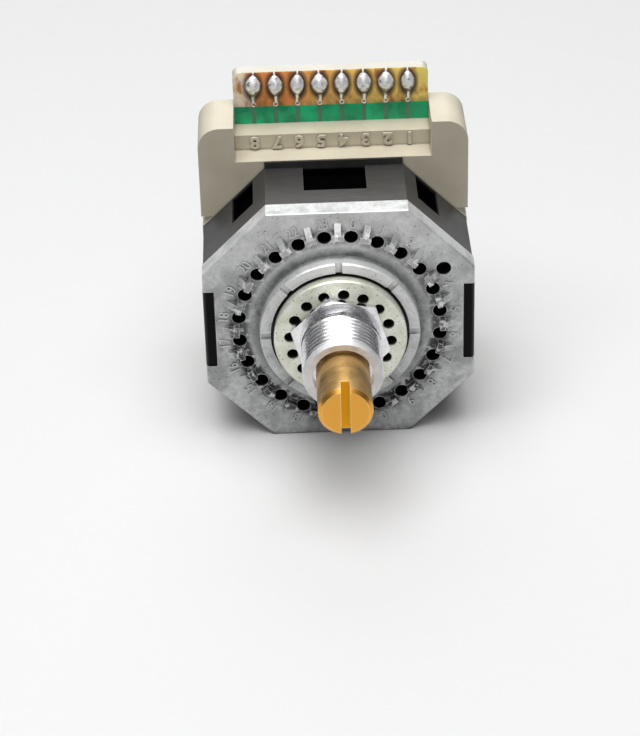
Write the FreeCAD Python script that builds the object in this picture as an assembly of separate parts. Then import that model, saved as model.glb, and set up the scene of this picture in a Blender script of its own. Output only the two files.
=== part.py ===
import FreeCAD, Part
import math
import os

# A panel-mounted rotary switch with a screwdriver slot in its shaft and a row of solder terminals.
# Frame: +X to the right and +Z up as the panel is faced, +Y away from the viewer.
# The origin is on the shaft's axis, on the front of the bushing's hexagon, where a panel seats.

# Shaft and bushing
SHAFT_RADIUS = 3.0
SHAFT_REACH = 14.6
SHAFT_CHAMFER = 0.4
SLOT_WIDTH = 1.0
SLOT_DEPTH = 1.6
RUNNING_CLEARANCE = 0.03
SEAT_CLEARANCE = 0.05
STEM_STEP = 0.2
STEM_RADIUS = SHAFT_RADIUS - STEM_STEP
SHOULDER_INSET = 0.15
BUSHING_WALL = 1.7
BUSHING_RADIUS = STEM_RADIUS + BUSHING_WALL
BUSHING_REACH = 7.3
BUSHING_CHAMFER = 0.45
BUSHING_BASE_LENGTH = 1.1
RELIEF_WIDTH = 0.7
RELIEF_DEPTH = 0.45
MOUTH_DEPTH = 0.8
MOUTH_CLEARANCE = 0.35
HEX_LAND = 0.5
HEX_ACROSS_FLATS = 2 * (BUSHING_RADIUS + HEX_LAND)
HEX_THICKNESS = 0.6
HEX_TURN = -16.0
STAKE_WIDTH = 0.5
STAKE_LENGTH = 0.5

# Index washer and snap ring in the collar
WASHER_WIDTH = 3.0
WASHER_RADIUS = BUSHING_RADIUS + WASHER_WIDTH
WASHER_THICKNESS = 2.5
WASHER_PROUD = 1.1
WASHER_RIM = 0.4
WASHER_HOLES = 16
WASHER_HOLE_RADIUS = 0.65
WASHER_HOLE_INSET = 1.8
WASHER_HOLE_CIRCLE = WASHER_RADIUS - WASHER_HOLE_INSET
WASHER_HOLE_TURN = 4.5
SNAP_RING_THICKNESS = 0.5
SNAP_RING_WIDTH = 0.35
SNAP_RING_BITE = 0.25
SNAP_RING_GAP = 0.35

# Die-cast mounting plate, from the collar outwards
COLLAR_BORE_RADIUS = WASHER_RADIUS + SNAP_RING_WIDTH
COLLAR_WALL = 1.2
COLLAR_RADIUS = COLLAR_BORE_RADIUS + COLLAR_WALL
COLLAR_HEIGHT = 1.9
COLLAR_EDGE = 0.15
GROOVE_COUNT = 8
GROOVE_WIDTH = 0.8
GROOVE_DEPTH = 0.3
POSITIONS = 24
INDEX_HOLE_RADIUS = 0.8
INDEX_HOLE_MARGIN = 1.61
INDEX_CIRCLE_RADIUS = COLLAR_RADIUS + INDEX_HOLE_MARGIN + INDEX_HOLE_RADIUS
INDEX_OUTER_RADIUS = INDEX_CIRCLE_RADIUS + INDEX_HOLE_RADIUS
LUG_WIDTH = 1.3
LUG_THICKNESS = 0.6
LUG_HEIGHT = 0.95
LUG_SETBACK = 0.1
RIB_WIDTH = 0.7
RIB_LENGTH = 1.25
RIB_TOE = 0.1
NOTCH_DEPTH = 1.25
NOTCH_HEIGHT = 9.8
PLATE_SIDE_LAND = 1.78
PLATE_END_LAND = 2.24
PLATE_CORNER_LAND = 3.58
PLATE_HALF_WIDTH = INDEX_OUTER_RADIUS + PLATE_SIDE_LAND + NOTCH_DEPTH
PLATE_HALF_HEIGHT = INDEX_OUTER_RADIUS + PLATE_END_LAND
PLATE_CUT = PLATE_HALF_WIDTH + PLATE_HALF_HEIGHT - math.sqrt(2) * (INDEX_OUTER_RADIUS + PLATE_CORNER_LAND)
PLATE_THICKNESS = 2.4
PLATE_EDGE_RADIUS = 0.2
LOCATING_HOLE_RADIUS = 0.85
LOCATING_HOLE_INSET = 3.49
LOCATING_HOLE_DROP = 0.16
LOCATING_HOLE_X = PLATE_HALF_WIDTH - LOCATING_HOLE_INSET
LOCATING_HOLE_Z = PLATE_HALF_HEIGHT - PLATE_CUT - LOCATING_HOLE_DROP

# Front housing and the detent inside it
HOUSING_INSET = 0.1
HOUSING_WALL = 2.2
ROTOR_BACK_GAP = 1.15
HOUSING_FLOOR = 2.1
HOUSING_SHOULDER = 0.9
WINDOW_WIDTH = 7.1
WINDOW_LENGTH = 5.6
WINDOW_DEPTH = 1.2
CORNER_WINDOW_WIDTH = 3.5
CORNER_WINDOW_LEAN = 1.4
LIP_THICKNESS = 0.25
KEY_PROUD = 0.05
KEY_SEAT = 2.2
KEY_ROUNDING = 0.6
RETAINER_GAP = 0.05
THRUST_WASHER_WALL = 2.0
THRUST_WASHER_THICKNESS = 0.3
CLIP_WALL = 1.8
CLIP_RADIUS = STEM_RADIUS + CLIP_WALL
CLIP_THICKNESS = 0.6
CLIP_GROOVE_DEPTH = 0.7
CLIP_MOUTH = 2 * (STEM_RADIUS - CLIP_GROOVE_DEPTH)
DETENT_RING_RADIUS = PLATE_HALF_HEIGHT - HOUSING_INSET - HOUSING_WALL
DETENT_RING_WALL = 1.0
DETENT_BAND = 1.9
DETENT_CREST_RADIUS = DETENT_RING_RADIUS - DETENT_BAND
BALL_RADIUS = 1.2
BALL_SIDE_WALL = 0.525
BALL_SETBACK = 0.8
BALL_CIRCLE_RADIUS = DETENT_CREST_RADIUS - BALL_SETBACK
DETENT_THICKNESS = 2 * (BALL_RADIUS + BALL_SIDE_WALL)
NOTCH_CLEARANCE = 0.05
ROTOR_GAP = 0.6
ROTOR_RADIUS = DETENT_CREST_RADIUS - ROTOR_GAP
FLAT_DEPTH = 0.5
STOP_ARM_THICKNESS = 0.8
STOP_ARM_GAP = 0.8
STOP_ARM_LENGTH = DETENT_RING_RADIUS - DETENT_RING_WALL - STOP_ARM_GAP
STOP_ARM_HUB_WALL = 1.7
STOP_PIN_RADIUS = 0.9
STOP_PIN_GAP = 0.9
STOP_PIN_CIRCLE = DETENT_RING_RADIUS - DETENT_RING_WALL - STOP_PIN_GAP - STOP_PIN_RADIUS
STOP_PIN_SEAT = 1.4
STOP_GAP = 0.03
SPRING_SEAT_WALL = 1.8
SPRING_SEAT_RADIUS = STEM_RADIUS + SPRING_SEAT_WALL
SPRING_INSET = 0.35
SPRING_RADIUS = BALL_RADIUS - SPRING_INSET
SPRING_WIRE_RADIUS = 0.13
SPRING_TURNS = 5
SPAN_COUNT = 12
SPRING_SIDES = 6
SPRING_END_GAP = 0.02
ORING_SECTION_RADIUS = 0.37
ORING_SIDES = 8
ORING_GROOVE_WIDTH = 1.2
ORING_GROOVE_DEPTH = 0.75
ORING_FRONT = 2.4

# Terminal housing, board and rear cover
HOUSING_STEP_DEPTH = 3.05
UPPER_STEP_DEPTH = 2.95
FRONT_WALL = 1.0
WING_OVERHANG = 0.11
WING_HALF_WIDTH = PLATE_HALF_WIDTH + WING_OVERHANG
WING_FOOT_DROP = 6.15
WING_CORNER_RADIUS = 2.5
TERMINAL_COUNT = 8
TERMINAL_PITCH = 2.54
TERMINAL_MARGIN = 2.36
TERMINAL_BAY_WIDTH = (TERMINAL_COUNT - 1) * TERMINAL_PITCH + 2 * TERMINAL_MARGIN
LOWER_STEP_RISE = 0.72
UPPER_STEP_RISE = 1.83
WING_RISE = 2.45
LOWER_STEP_HEIGHT = PLATE_HALF_HEIGHT + LOWER_STEP_RISE
UPPER_STEP_HEIGHT = LOWER_STEP_HEIGHT + UPPER_STEP_RISE
WING_TOP = UPPER_STEP_HEIGHT + WING_RISE
BOARD_THICKNESS = 1.6
BOARD_EDGE_WALL = 1.9
BOARD_RADIUS = PLATE_HALF_HEIGHT - BOARD_EDGE_WALL
BOARD_CLEARANCE = 0.1
BOARD_TAB_WIDTH = TERMINAL_BAY_WIDTH - 2 * SEAT_CLEARANCE
BOARD_CORNER_RADIUS = 0.7
TERMINAL_RISE = 2.3
TERMINAL_HEIGHT = WING_TOP + TERMINAL_RISE
TERMINAL_RADIUS = 0.4
TERMINAL_FRONT = 0.35
TERMINAL_REAR = 1.4
SOLDER_RADIUS = 0.87
SOLDER_HALF_HEIGHT = 1.6
BAND_COUNT = 4
BOARD_MARGIN = 0.15
BOARD_TOP = TERMINAL_HEIGHT + SOLDER_HALF_HEIGHT + BOARD_MARGIN
TRACK_THICKNESS = 0.1
TRACK_WIDTH = 0.8
TRACK_PITCH = 1.2
TRACK_INNER_RADIUS = 5.0
TRACK_SEGMENTS = (1, 6, 12)
COVER_THICKNESS = 2.0
COVER_EDGE = 0.4
BOSS_WALL = 1.7
BOSS_HEIGHT = 1.2
BOSS_END_WALL = 0.5
JOURNAL_RADIUS = 1.5
JOURNAL_CHAMFER = 0.2
REAR_BUSH_WALL = 1.0
REAR_BUSH_RADIUS = JOURNAL_RADIUS + REAR_BUSH_WALL
BOSS_RADIUS = REAR_BUSH_RADIUS + BOSS_WALL
CONTACT_ROTOR_MARGIN = 0.8
TRACK_OUTER_RADIUS = TRACK_INNER_RADIUS + (len(TRACK_SEGMENTS) - 1) * TRACK_PITCH + TRACK_WIDTH
CONTACT_ROTOR_RADIUS = TRACK_OUTER_RADIUS + CONTACT_ROTOR_MARGIN
CONTACT_ROTOR_THICKNESS = 2.0
CONTACT_ROTOR_SETBACK = 0.5
CONTACT_ROTOR_HUB_WALL = 1.8
CONTACT_ROOM_GAP = 1.2
SPACER_WALL = 0.8
PASSAGE_GAP = 0.35
SHAFT_PASSAGE_RADIUS = STEM_RADIUS + SEAT_CLEARANCE + SPACER_WALL + PASSAGE_GAP
END_PLAY = 0.05
BRUSH_WIDTH = 1.1
BRUSH_THICKNESS = 0.2
BRUSH_RING_WALL = 1.6
BRUSH_TIP_GAP = 0.04
SCREW_RADIUS = 0.8
SCREW_CLEARANCE = 0.1
SCREW_EDGE = 2.05
SCREW_WALL = 1.04
SCREW_CIRCLE_RADIUS = DETENT_RING_RADIUS + SCREW_WALL + SCREW_CLEARANCE + SCREW_RADIUS
SCREW_Z = PLATE_HALF_HEIGHT - SCREW_EDGE
SCREW_X = math.sqrt(SCREW_CIRCLE_RADIUS**2 - SCREW_Z**2)
SCREW_HEAD_RADIUS = 1.5
SCREW_HEAD_HEIGHT = 1.1
SCREW_SLOT_WIDTH = 0.5
SCREW_SLOT_DEPTH = 0.6
SCREW_GRIP = 1.8

# Stations along the shaft, from the panel seat backwards
WASHER_FRONT = HEX_THICKNESS
COLLAR_FRONT = WASHER_FRONT + WASHER_PROUD
RECESS_FLOOR = WASHER_FRONT + WASHER_THICKNESS
PLATE_FRONT = COLLAR_FRONT + COLLAR_HEIGHT
PLATE_BACK = PLATE_FRONT + PLATE_THICKNESS
STAKE_BACK = PLATE_BACK + STAKE_LENGTH
THRUST_FRONT = STAKE_BACK + RETAINER_GAP
CLIP_FRONT = THRUST_FRONT + THRUST_WASHER_THICKNESS + RETAINER_GAP
CLIP_BACK = CLIP_FRONT + CLIP_THICKNESS
ARM_FRONT = CLIP_BACK + RETAINER_GAP
ARM_BACK = ARM_FRONT + STOP_ARM_THICKNESS
ROTOR_FRONT = ARM_BACK + END_PLAY
ROTOR_BACK = ROTOR_FRONT + DETENT_THICKNESS
BALL_Y = (ROTOR_FRONT + ROTOR_BACK) / 2
HOUSING_BACK = ROTOR_BACK + ROTOR_BACK_GAP + HOUSING_FLOOR
STEP_BACK = HOUSING_BACK + HOUSING_STEP_DEPTH
BOARD_FRONT = STEP_BACK + UPPER_STEP_DEPTH
BOARD_BACK = BOARD_FRONT + BOARD_THICKNESS
COVER_BACK = BOARD_BACK + COVER_THICKNESS
BOSS_BACK = COVER_BACK + BOSS_HEIGHT
CONTACT_ROTOR_FRONT = HOUSING_BACK + FRONT_WALL + CONTACT_ROTOR_SETBACK
CONTACT_ROTOR_BACK = CONTACT_ROTOR_FRONT + CONTACT_ROTOR_THICKNESS
DRIVE_BACK = CONTACT_ROTOR_BACK + BRUSH_THICKNESS + END_PLAY
JOURNAL_BACK = BOSS_BACK - BOSS_END_WALL - RETAINER_GAP
STEP_ANGLE = 360.0 / POSITIONS


def point(x, y, z):
    return FreeCAD.Vector(x, y, z)


def disc(radius, front, back, x=0.0, z=0.0):
    """A cylinder along the shaft's direction, from one station to another."""
    return Part.makeCylinder(radius, back - front, point(x, front, z), point(0, 1, 0))


def tube(outer, inner, front, back):
    return disc(outer, front, back).cut(disc(inner, front, back))


def block(left, right, front, back, bottom, top):
    return Part.makeBox(right - left, back - front, top - bottom, point(left, front, bottom))


def prism(outline, front, back):
    """An outline of (x, z) corners, extruded along the shaft's direction."""
    corners = [point(x, front, z) for x, z in outline]
    face = Part.Face(Part.makePolygon(corners + corners[:1]))
    return face.extrude(point(0, back - front, 0))


def turned(profile):
    """A profile of (radius, y) corners, revolved about the shaft's axis."""
    corners = [point(radius, y, 0) for radius, y in profile]
    face = Part.Face(Part.makePolygon(corners + corners[:1]))
    return face.revolve(point(0, 0, 0), point(0, 1, 0), 360)


def round_section(radius, sides):
    """The corners of a regular polygon that stands for a round section."""
    angles = [2 * math.pi * side / sides for side in range(sides)]
    return [(radius * math.cos(angle), radius * math.sin(angle)) for angle in angles]


def triangle(first, second, third):
    return Part.Face(Part.makePolygon([first, second, third, first]))


def lofted(rings):
    """A closed solid with flat faces through rings of points that all have the same count."""
    faces = [Part.Face(Part.makePolygon(ring + ring[:1])) for ring in (rings[0], rings[-1])]
    for near, far in zip(rings, rings[1:]):
        for side in range(len(near)):
            after = (side + 1) % len(near)
            faces.append(triangle(near[side], far[side], far[after]))
            faces.append(triangle(near[side], far[after], near[after]))
    return Part.Solid(Part.Shell(faces))


def turn(shape, degrees):
    """A copy turned about the shaft, clockwise as the panel is faced."""
    copy = shape.copy()
    copy.rotate(point(0, 0, 0), point(0, 1, 0), degrees)
    return copy


def around(shape, count, first=0.0):
    """Copies of a shape, evenly spaced about the shaft."""
    return [turn(shape, first + 360.0 * number / count) for number in range(count)]


def octagon(inset=0.0):
    """The plate's outline, with every side moved inwards by the inset."""
    x = PLATE_HALF_WIDTH - inset
    z = PLATE_HALF_HEIGHT - inset
    cut = PLATE_CUT - inset * (2 - math.sqrt(2))
    return [(x - cut, z), (x, z - cut), (x, cut - z), (x - cut, -z),
            (cut - x, -z), (-x, cut - z), (-x, z - cut), (cut - x, z)]


def edges_at(shape, y):
    """The edges that lie wholly in the plane at one station."""
    flat = 1e-6
    return [edge for edge in shape.Edges
            if all(abs(corner.Point.y - y) < flat for corner in edge.Vertexes)]


def hexagon(across_flats):
    radius = across_flats / math.sqrt(3)
    angles = [math.radians(HEX_TURN + 60 * side) for side in range(6)]
    return [(radius * math.sin(angle), radius * math.cos(angle)) for angle in angles]


def screw_places():
    return [(side * SCREW_X, level * SCREW_Z) for side in (-1, 1) for level in (-1, 1)]


def screw_holes(radius, front, back):
    return [disc(radius, front, back, x, z) for x, z in screw_places()]


def drive_bore(front, back, clearance=0.0):
    """The shaft's section with its two flats, upright beside the slot."""
    half = STEM_RADIUS - FLAT_DEPTH + clearance
    radius = STEM_RADIUS + clearance
    return disc(radius, front, back).common(block(-half, half, front, back, -radius, radius))


def mounting_plate():
    flange = prism(octagon(), PLATE_FRONT, PLATE_BACK)
    flange = flange.makeFillet(PLATE_EDGE_RADIUS, edges_at(flange, PLATE_FRONT))
    collar = turned([
        (BUSHING_RADIUS, PLATE_BACK),
        (BUSHING_RADIUS, COLLAR_FRONT),
        (COLLAR_RADIUS - COLLAR_EDGE, COLLAR_FRONT),
        (COLLAR_RADIUS, COLLAR_FRONT + COLLAR_EDGE),
        (COLLAR_RADIUS, PLATE_BACK),
    ])
    plate = flange.fuse([collar] + index_lugs())

    recess = disc(COLLAR_BORE_RADIUS, COLLAR_FRONT, RECESS_FLOOR)
    ring_groove = disc(
        COLLAR_BORE_RADIUS + SNAP_RING_BITE + SEAT_CLEARANCE,
        snap_ring_front() - SEAT_CLEARANCE,
        snap_ring_front() + SNAP_RING_THICKNESS + SEAT_CLEARANCE,
    )
    bore = disc(BUSHING_RADIUS + SEAT_CLEARANCE, COLLAR_FRONT, PLATE_BACK)
    groove = block(-GROOVE_WIDTH / 2, GROOVE_WIDTH / 2, COLLAR_FRONT, COLLAR_FRONT + GROOVE_DEPTH,
                   COLLAR_BORE_RADIUS - GROOVE_WIDTH, COLLAR_RADIUS + GROOVE_WIDTH)
    index_hole = disc(INDEX_HOLE_RADIUS, PLATE_FRONT - LUG_HEIGHT, PLATE_BACK, 0, INDEX_CIRCLE_RADIUS)
    locating_hole = disc(LOCATING_HOLE_RADIUS, PLATE_FRONT - LUG_HEIGHT, PLATE_BACK,
                         LOCATING_HOLE_X, LOCATING_HOLE_Z)
    pin_hole = disc(STOP_PIN_RADIUS, PLATE_BACK - STOP_PIN_SEAT, PLATE_BACK, 0, -STOP_PIN_CIRCLE)
    notches = notch_blocks(PLATE_FRONT, PLATE_BACK)
    tapped = screw_holes(SCREW_RADIUS, PLATE_BACK - SCREW_GRIP, PLATE_BACK)
    plate = plate.cut([recess, ring_groove, bore, locating_hole, pin_hole] + notches + tapped)
    plate = plate.cut(around(groove, GROOVE_COUNT))
    plate = plate.cut(around(index_hole, POSITIONS, STEP_ANGLE / 2))
    return plate.removeSplitter()


def index_lugs():
    """Upstanding lugs between the index holes, each with a rib that slopes down outwards."""
    inner = INDEX_CIRCLE_RADIUS - LUG_SETBACK
    outer = inner + LUG_THICKNESS
    top = PLATE_FRONT - LUG_HEIGHT
    wall = block(-LUG_WIDTH / 2, LUG_WIDTH / 2, top, PLATE_BACK, inner, outer)
    side = [
        point(-RIB_WIDTH / 2, PLATE_BACK, inner),
        point(-RIB_WIDTH / 2, top, inner),
        point(-RIB_WIDTH / 2, top, outer),
        point(-RIB_WIDTH / 2, PLATE_FRONT - RIB_TOE, outer + RIB_LENGTH),
        point(-RIB_WIDTH / 2, PLATE_BACK, outer + RIB_LENGTH),
    ]
    rib = Part.Face(Part.makePolygon(side + side[:1])).extrude(point(RIB_WIDTH, 0, 0))
    return around(wall.fuse(rib), POSITIONS)


def snap_ring_front():
    """The ring lies on the index washer's rim."""
    return RECESS_FLOOR - WASHER_RIM - SNAP_RING_THICKNESS


def snap_ring():
    ring = tube(
        COLLAR_BORE_RADIUS + SNAP_RING_BITE,
        COLLAR_BORE_RADIUS - SNAP_RING_WIDTH + SEAT_CLEARANCE,
        snap_ring_front(),
        snap_ring_front() + SNAP_RING_THICKNESS,
    )
    split = block(-SNAP_RING_GAP / 2, SNAP_RING_GAP / 2, WASHER_FRONT, RECESS_FLOOR, 0, COLLAR_RADIUS)
    return ring.cut(split)


def index_washer():
    rim_front = RECESS_FLOOR - WASHER_RIM
    washer = turned([
        (BUSHING_RADIUS + SEAT_CLEARANCE, WASHER_FRONT),
        (WASHER_RADIUS - COLLAR_EDGE, WASHER_FRONT),
        (WASHER_RADIUS, WASHER_FRONT + COLLAR_EDGE),
        (WASHER_RADIUS, rim_front),
        (COLLAR_BORE_RADIUS - SEAT_CLEARANCE, rim_front),
        (COLLAR_BORE_RADIUS - SEAT_CLEARANCE, RECESS_FLOOR),
        (BUSHING_RADIUS + SEAT_CLEARANCE, RECESS_FLOOR),
    ])
    hole = disc(WASHER_HOLE_RADIUS, WASHER_FRONT, RECESS_FLOOR, 0, WASHER_HOLE_CIRCLE)
    return washer.cut(around(hole, WASHER_HOLES, WASHER_HOLE_TURN))


def threaded_bushing():
    """One turned piece: threaded nose, relief, plain base, hexagon, shank and staked end."""
    bore = STEM_RADIUS + RUNNING_CLEARANCE
    mouth = SHAFT_RADIUS + MOUTH_CLEARANCE
    nose = -BUSHING_REACH
    relief_back = -BUSHING_BASE_LENGTH
    relief_front = relief_back - RELIEF_WIDTH
    body = turned([
        (mouth, nose),
        (BUSHING_RADIUS - BUSHING_CHAMFER, nose),
        (BUSHING_RADIUS, nose + BUSHING_CHAMFER),
        (BUSHING_RADIUS, relief_front),
        (BUSHING_RADIUS - RELIEF_DEPTH, relief_front),
        (BUSHING_RADIUS - RELIEF_DEPTH, relief_back),
        (BUSHING_RADIUS, relief_back),
        (BUSHING_RADIUS, PLATE_BACK),
        (BUSHING_RADIUS + STAKE_WIDTH, PLATE_BACK),
        (BUSHING_RADIUS + STAKE_WIDTH / 2, STAKE_BACK),
        (bore, STAKE_BACK),
        (bore, nose + MOUTH_DEPTH),
        (mouth, nose + MOUTH_DEPTH),
    ])
    head = prism(hexagon(HEX_ACROSS_FLATS), 0, HEX_THICKNESS)
    rounding = turned([
        (0, 0),
        (HEX_ACROSS_FLATS / 2, 0),
        (HEX_ACROSS_FLATS / math.sqrt(3), HEX_THICKNESS / 3),
        (HEX_ACROSS_FLATS / math.sqrt(3), HEX_THICKNESS),
        (0, HEX_THICKNESS),
    ])
    head = head.common(rounding).cut(disc(bore, 0, HEX_THICKNESS))
    return body.fuse(head).removeSplitter()


def shaft():
    """Turned brass shaft: slotted end, stem with seal and clip grooves, two driving flats, rear journal."""
    tip = -SHAFT_REACH
    shoulder = SHOULDER_INSET - BUSHING_REACH
    seal_root = STEM_RADIUS - ORING_GROOVE_DEPTH
    clip_root = STEM_RADIUS - CLIP_GROOVE_DEPTH
    clip_back = CLIP_BACK + RETAINER_GAP / 2
    clip_front = CLIP_FRONT - RETAINER_GAP / 2
    body = turned([
        (0, tip),
        (SHAFT_RADIUS - SHAFT_CHAMFER, tip),
        (SHAFT_RADIUS, tip + SHAFT_CHAMFER),
        (SHAFT_RADIUS, shoulder),
        (STEM_RADIUS, shoulder),
        (STEM_RADIUS, ORING_FRONT),
        (seal_root, ORING_FRONT),
        (seal_root, ORING_FRONT + ORING_GROOVE_WIDTH),
        (STEM_RADIUS, ORING_FRONT + ORING_GROOVE_WIDTH),
        (STEM_RADIUS, clip_front),
        (clip_root, clip_front),
        (clip_root, clip_back),
        (STEM_RADIUS, clip_back),
        (STEM_RADIUS, DRIVE_BACK),
        (JOURNAL_RADIUS, DRIVE_BACK),
        (JOURNAL_RADIUS, JOURNAL_BACK - JOURNAL_CHAMFER),
        (JOURNAL_RADIUS - JOURNAL_CHAMFER, JOURNAL_BACK),
        (0, JOURNAL_BACK),
    ])
    slot = block(-SLOT_WIDTH / 2, SLOT_WIDTH / 2, tip, tip + SLOT_DEPTH, -SHAFT_RADIUS, SHAFT_RADIUS)
    flats = disc(STEM_RADIUS, ARM_FRONT, DRIVE_BACK).cut(drive_bore(ARM_FRONT, DRIVE_BACK))
    return body.cut([slot, flats])


def shaft_seal():
    """A rubber ring; its round section is drawn with a few straight sides."""
    middle = ORING_FRONT + ORING_GROOVE_WIDTH / 2
    ring_radius = STEM_RADIUS - ORING_GROOVE_DEPTH + ORING_SECTION_RADIUS + RUNNING_CLEARANCE / 3
    return turned([(ring_radius + along, middle + across)
                   for along, across in round_section(ORING_SECTION_RADIUS, ORING_SIDES)])


def thrust_washer():
    return tube(STEM_RADIUS + THRUST_WASHER_WALL, STEM_RADIUS + SEAT_CLEARANCE, THRUST_FRONT,
                THRUST_FRONT + THRUST_WASHER_THICKNESS)


def retaining_clip():
    """An open clip with three pads that grip the shaft's groove."""
    root = STEM_RADIUS - CLIP_GROOVE_DEPTH + SEAT_CLEARANCE / 2
    clip = tube(CLIP_RADIUS, root, CLIP_FRONT, CLIP_BACK)
    mouth = block(-CLIP_MOUTH / 2, CLIP_MOUTH / 2, CLIP_FRONT, CLIP_BACK, -CLIP_RADIUS, 0)
    relief = disc(CLIP_GROOVE_DEPTH, CLIP_FRONT, CLIP_BACK, 0, root + CLIP_GROOVE_DEPTH / 2)
    reliefs = [turn(relief, degrees) for degrees in (-45, 45)]
    return clip.cut([mouth] + reliefs)


def stop_arm():
    """A keyed steel lever; its width leaves the step angle free on both sides of the stop pin."""
    half = STOP_PIN_CIRCLE * math.sin(math.radians(STEP_ANGLE)) - STOP_PIN_RADIUS - STOP_GAP
    hub = disc(STEM_RADIUS + STOP_ARM_HUB_WALL, ARM_FRONT, ARM_BACK)
    lever = block(-half, half, ARM_FRONT, ARM_BACK, 0, STOP_ARM_LENGTH)
    lever = lever.common(disc(STOP_ARM_LENGTH, ARM_FRONT, ARM_BACK))
    return hub.fuse(lever).removeSplitter().cut(drive_bore(ARM_FRONT, ARM_BACK, RUNNING_CLEARANCE))


def stop_pin():
    return disc(STOP_PIN_RADIUS, PLATE_BACK - STOP_PIN_SEAT, ARM_BACK - RETAINER_GAP, 0, -STOP_PIN_CIRCLE)


def detent_ring():
    """A sleeve with a scalloped band inside, one scallop for each position."""
    ring = turned([
        (DETENT_RING_RADIUS, PLATE_BACK),
        (DETENT_RING_RADIUS, ROTOR_BACK),
        (DETENT_CREST_RADIUS, ROTOR_BACK),
        (DETENT_CREST_RADIUS, ROTOR_FRONT),
        (DETENT_RING_RADIUS - DETENT_RING_WALL, ROTOR_FRONT),
        (DETENT_RING_RADIUS - DETENT_RING_WALL, PLATE_BACK),
    ])
    scallop = disc(BALL_RADIUS + NOTCH_CLEARANCE, ROTOR_FRONT, ROTOR_BACK, 0, BALL_CIRCLE_RADIUS)
    return ring.cut(around(scallop, POSITIONS))


def detent_rotor():
    """A drum keyed to the shaft, with two radial bores for the balls and their springs."""
    drum = disc(ROTOR_RADIUS, ROTOR_FRONT, ROTOR_BACK)
    bore = Part.makeCylinder(
        BALL_RADIUS + RUNNING_CLEARANCE,
        ROTOR_RADIUS - SPRING_SEAT_RADIUS,
        point(0, BALL_Y, SPRING_SEAT_RADIUS),
        point(0, 0, 1),
    )
    return drum.cut([drive_bore(ROTOR_FRONT, ROTOR_BACK, RUNNING_CLEARANCE), bore, turn(bore, 180)])


def detent_ball(degrees):
    ball = Part.makeSphere(BALL_RADIUS, point(0, BALL_Y, BALL_CIRCLE_RADIUS))
    return turn(ball, degrees)


def detent_spring(degrees):
    """A helical spring from the bore's floor to the ball, its wire made of short straight spans."""
    reach = BALL_RADIUS + SPRING_WIRE_RADIUS + SPRING_END_GAP
    top = BALL_CIRCLE_RADIUS - math.sqrt(reach**2 - SPRING_RADIUS**2)
    bottom = SPRING_SEAT_RADIUS + SPRING_WIRE_RADIUS + SPRING_END_GAP
    spans = SPRING_TURNS * SPAN_COUNT
    rings = []
    for number in range(spans + 1):
        angle = 2 * math.pi * number / SPAN_COUNT
        level = bottom + (top - bottom) * number / spans
        rings.append([
            point((SPRING_RADIUS + along) * math.cos(angle),
                  BALL_Y + (SPRING_RADIUS + along) * math.sin(angle),
                  level + across)
            for along, across in round_section(SPRING_WIRE_RADIUS, SPRING_SIDES)
        ])
    return turn(lofted(rings), degrees)


def front_housing():
    """An octagonal cup that holds the detent, with a shallow window pocket in each side.

    A lip on its top side stands against the terminal step, and its flanks hold the notch keys.
    """
    body = prism(octagon(HOUSING_INSET), PLATE_BACK, HOUSING_BACK)
    lip_half = PLATE_HALF_WIDTH - PLATE_CUT
    lip = block(-lip_half, lip_half, HOUSING_BACK - LIP_THICKNESS, HOUSING_BACK,
                PLATE_HALF_HEIGHT - HOUSING_INSET - HOUSING_WALL, LOWER_STEP_HEIGHT - SEAT_CLEARANCE)
    body = body.fuse(lip)
    floor = HOUSING_BACK - HOUSING_FLOOR
    seat = disc(DETENT_RING_RADIUS + SEAT_CLEARANCE, PLATE_BACK, ROTOR_BACK)
    room = disc(DETENT_RING_RADIUS - HOUSING_SHOULDER, ROTOR_BACK, floor)
    passage = disc(SHAFT_PASSAGE_RADIUS, floor, HOUSING_BACK)
    body = body.cut([seat, room, passage] + window_pockets())
    body = body.cut(notch_blocks(PLATE_BACK, PLATE_BACK + KEY_SEAT))
    return body.cut(screw_holes(SCREW_RADIUS + SCREW_CLEARANCE, PLATE_BACK, HOUSING_BACK))


def notch_blocks(front, back, clearance=0.0):
    """A block for the notch on each side of the plate, from one station to another."""
    half = NOTCH_HEIGHT / 2 - clearance
    inner = PLATE_HALF_WIDTH - NOTCH_DEPTH + clearance
    right = block(inner, PLATE_HALF_WIDTH + KEY_PROUD, front, back, -half, half)
    return [right, turn(right, 180)]


def notch_keys():
    """Two keys that fill the plate's side notches and sit in the housing, rounded along their outer edge."""
    keys = []
    for key in notch_blocks(PLATE_FRONT, PLATE_BACK + KEY_SEAT - SEAT_CLEARANCE, SEAT_CLEARANCE):
        corner = [
            edge for edge in key.Edges
            if all(abs(end.Point.x) > PLATE_HALF_WIDTH and end.Point.y < PLATE_FRONT + 1e-6
                   for end in edge.Vertexes)
        ]
        keys.append(key.makeFillet(KEY_ROUNDING, corner))
    return Part.makeCompound(keys)


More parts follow.
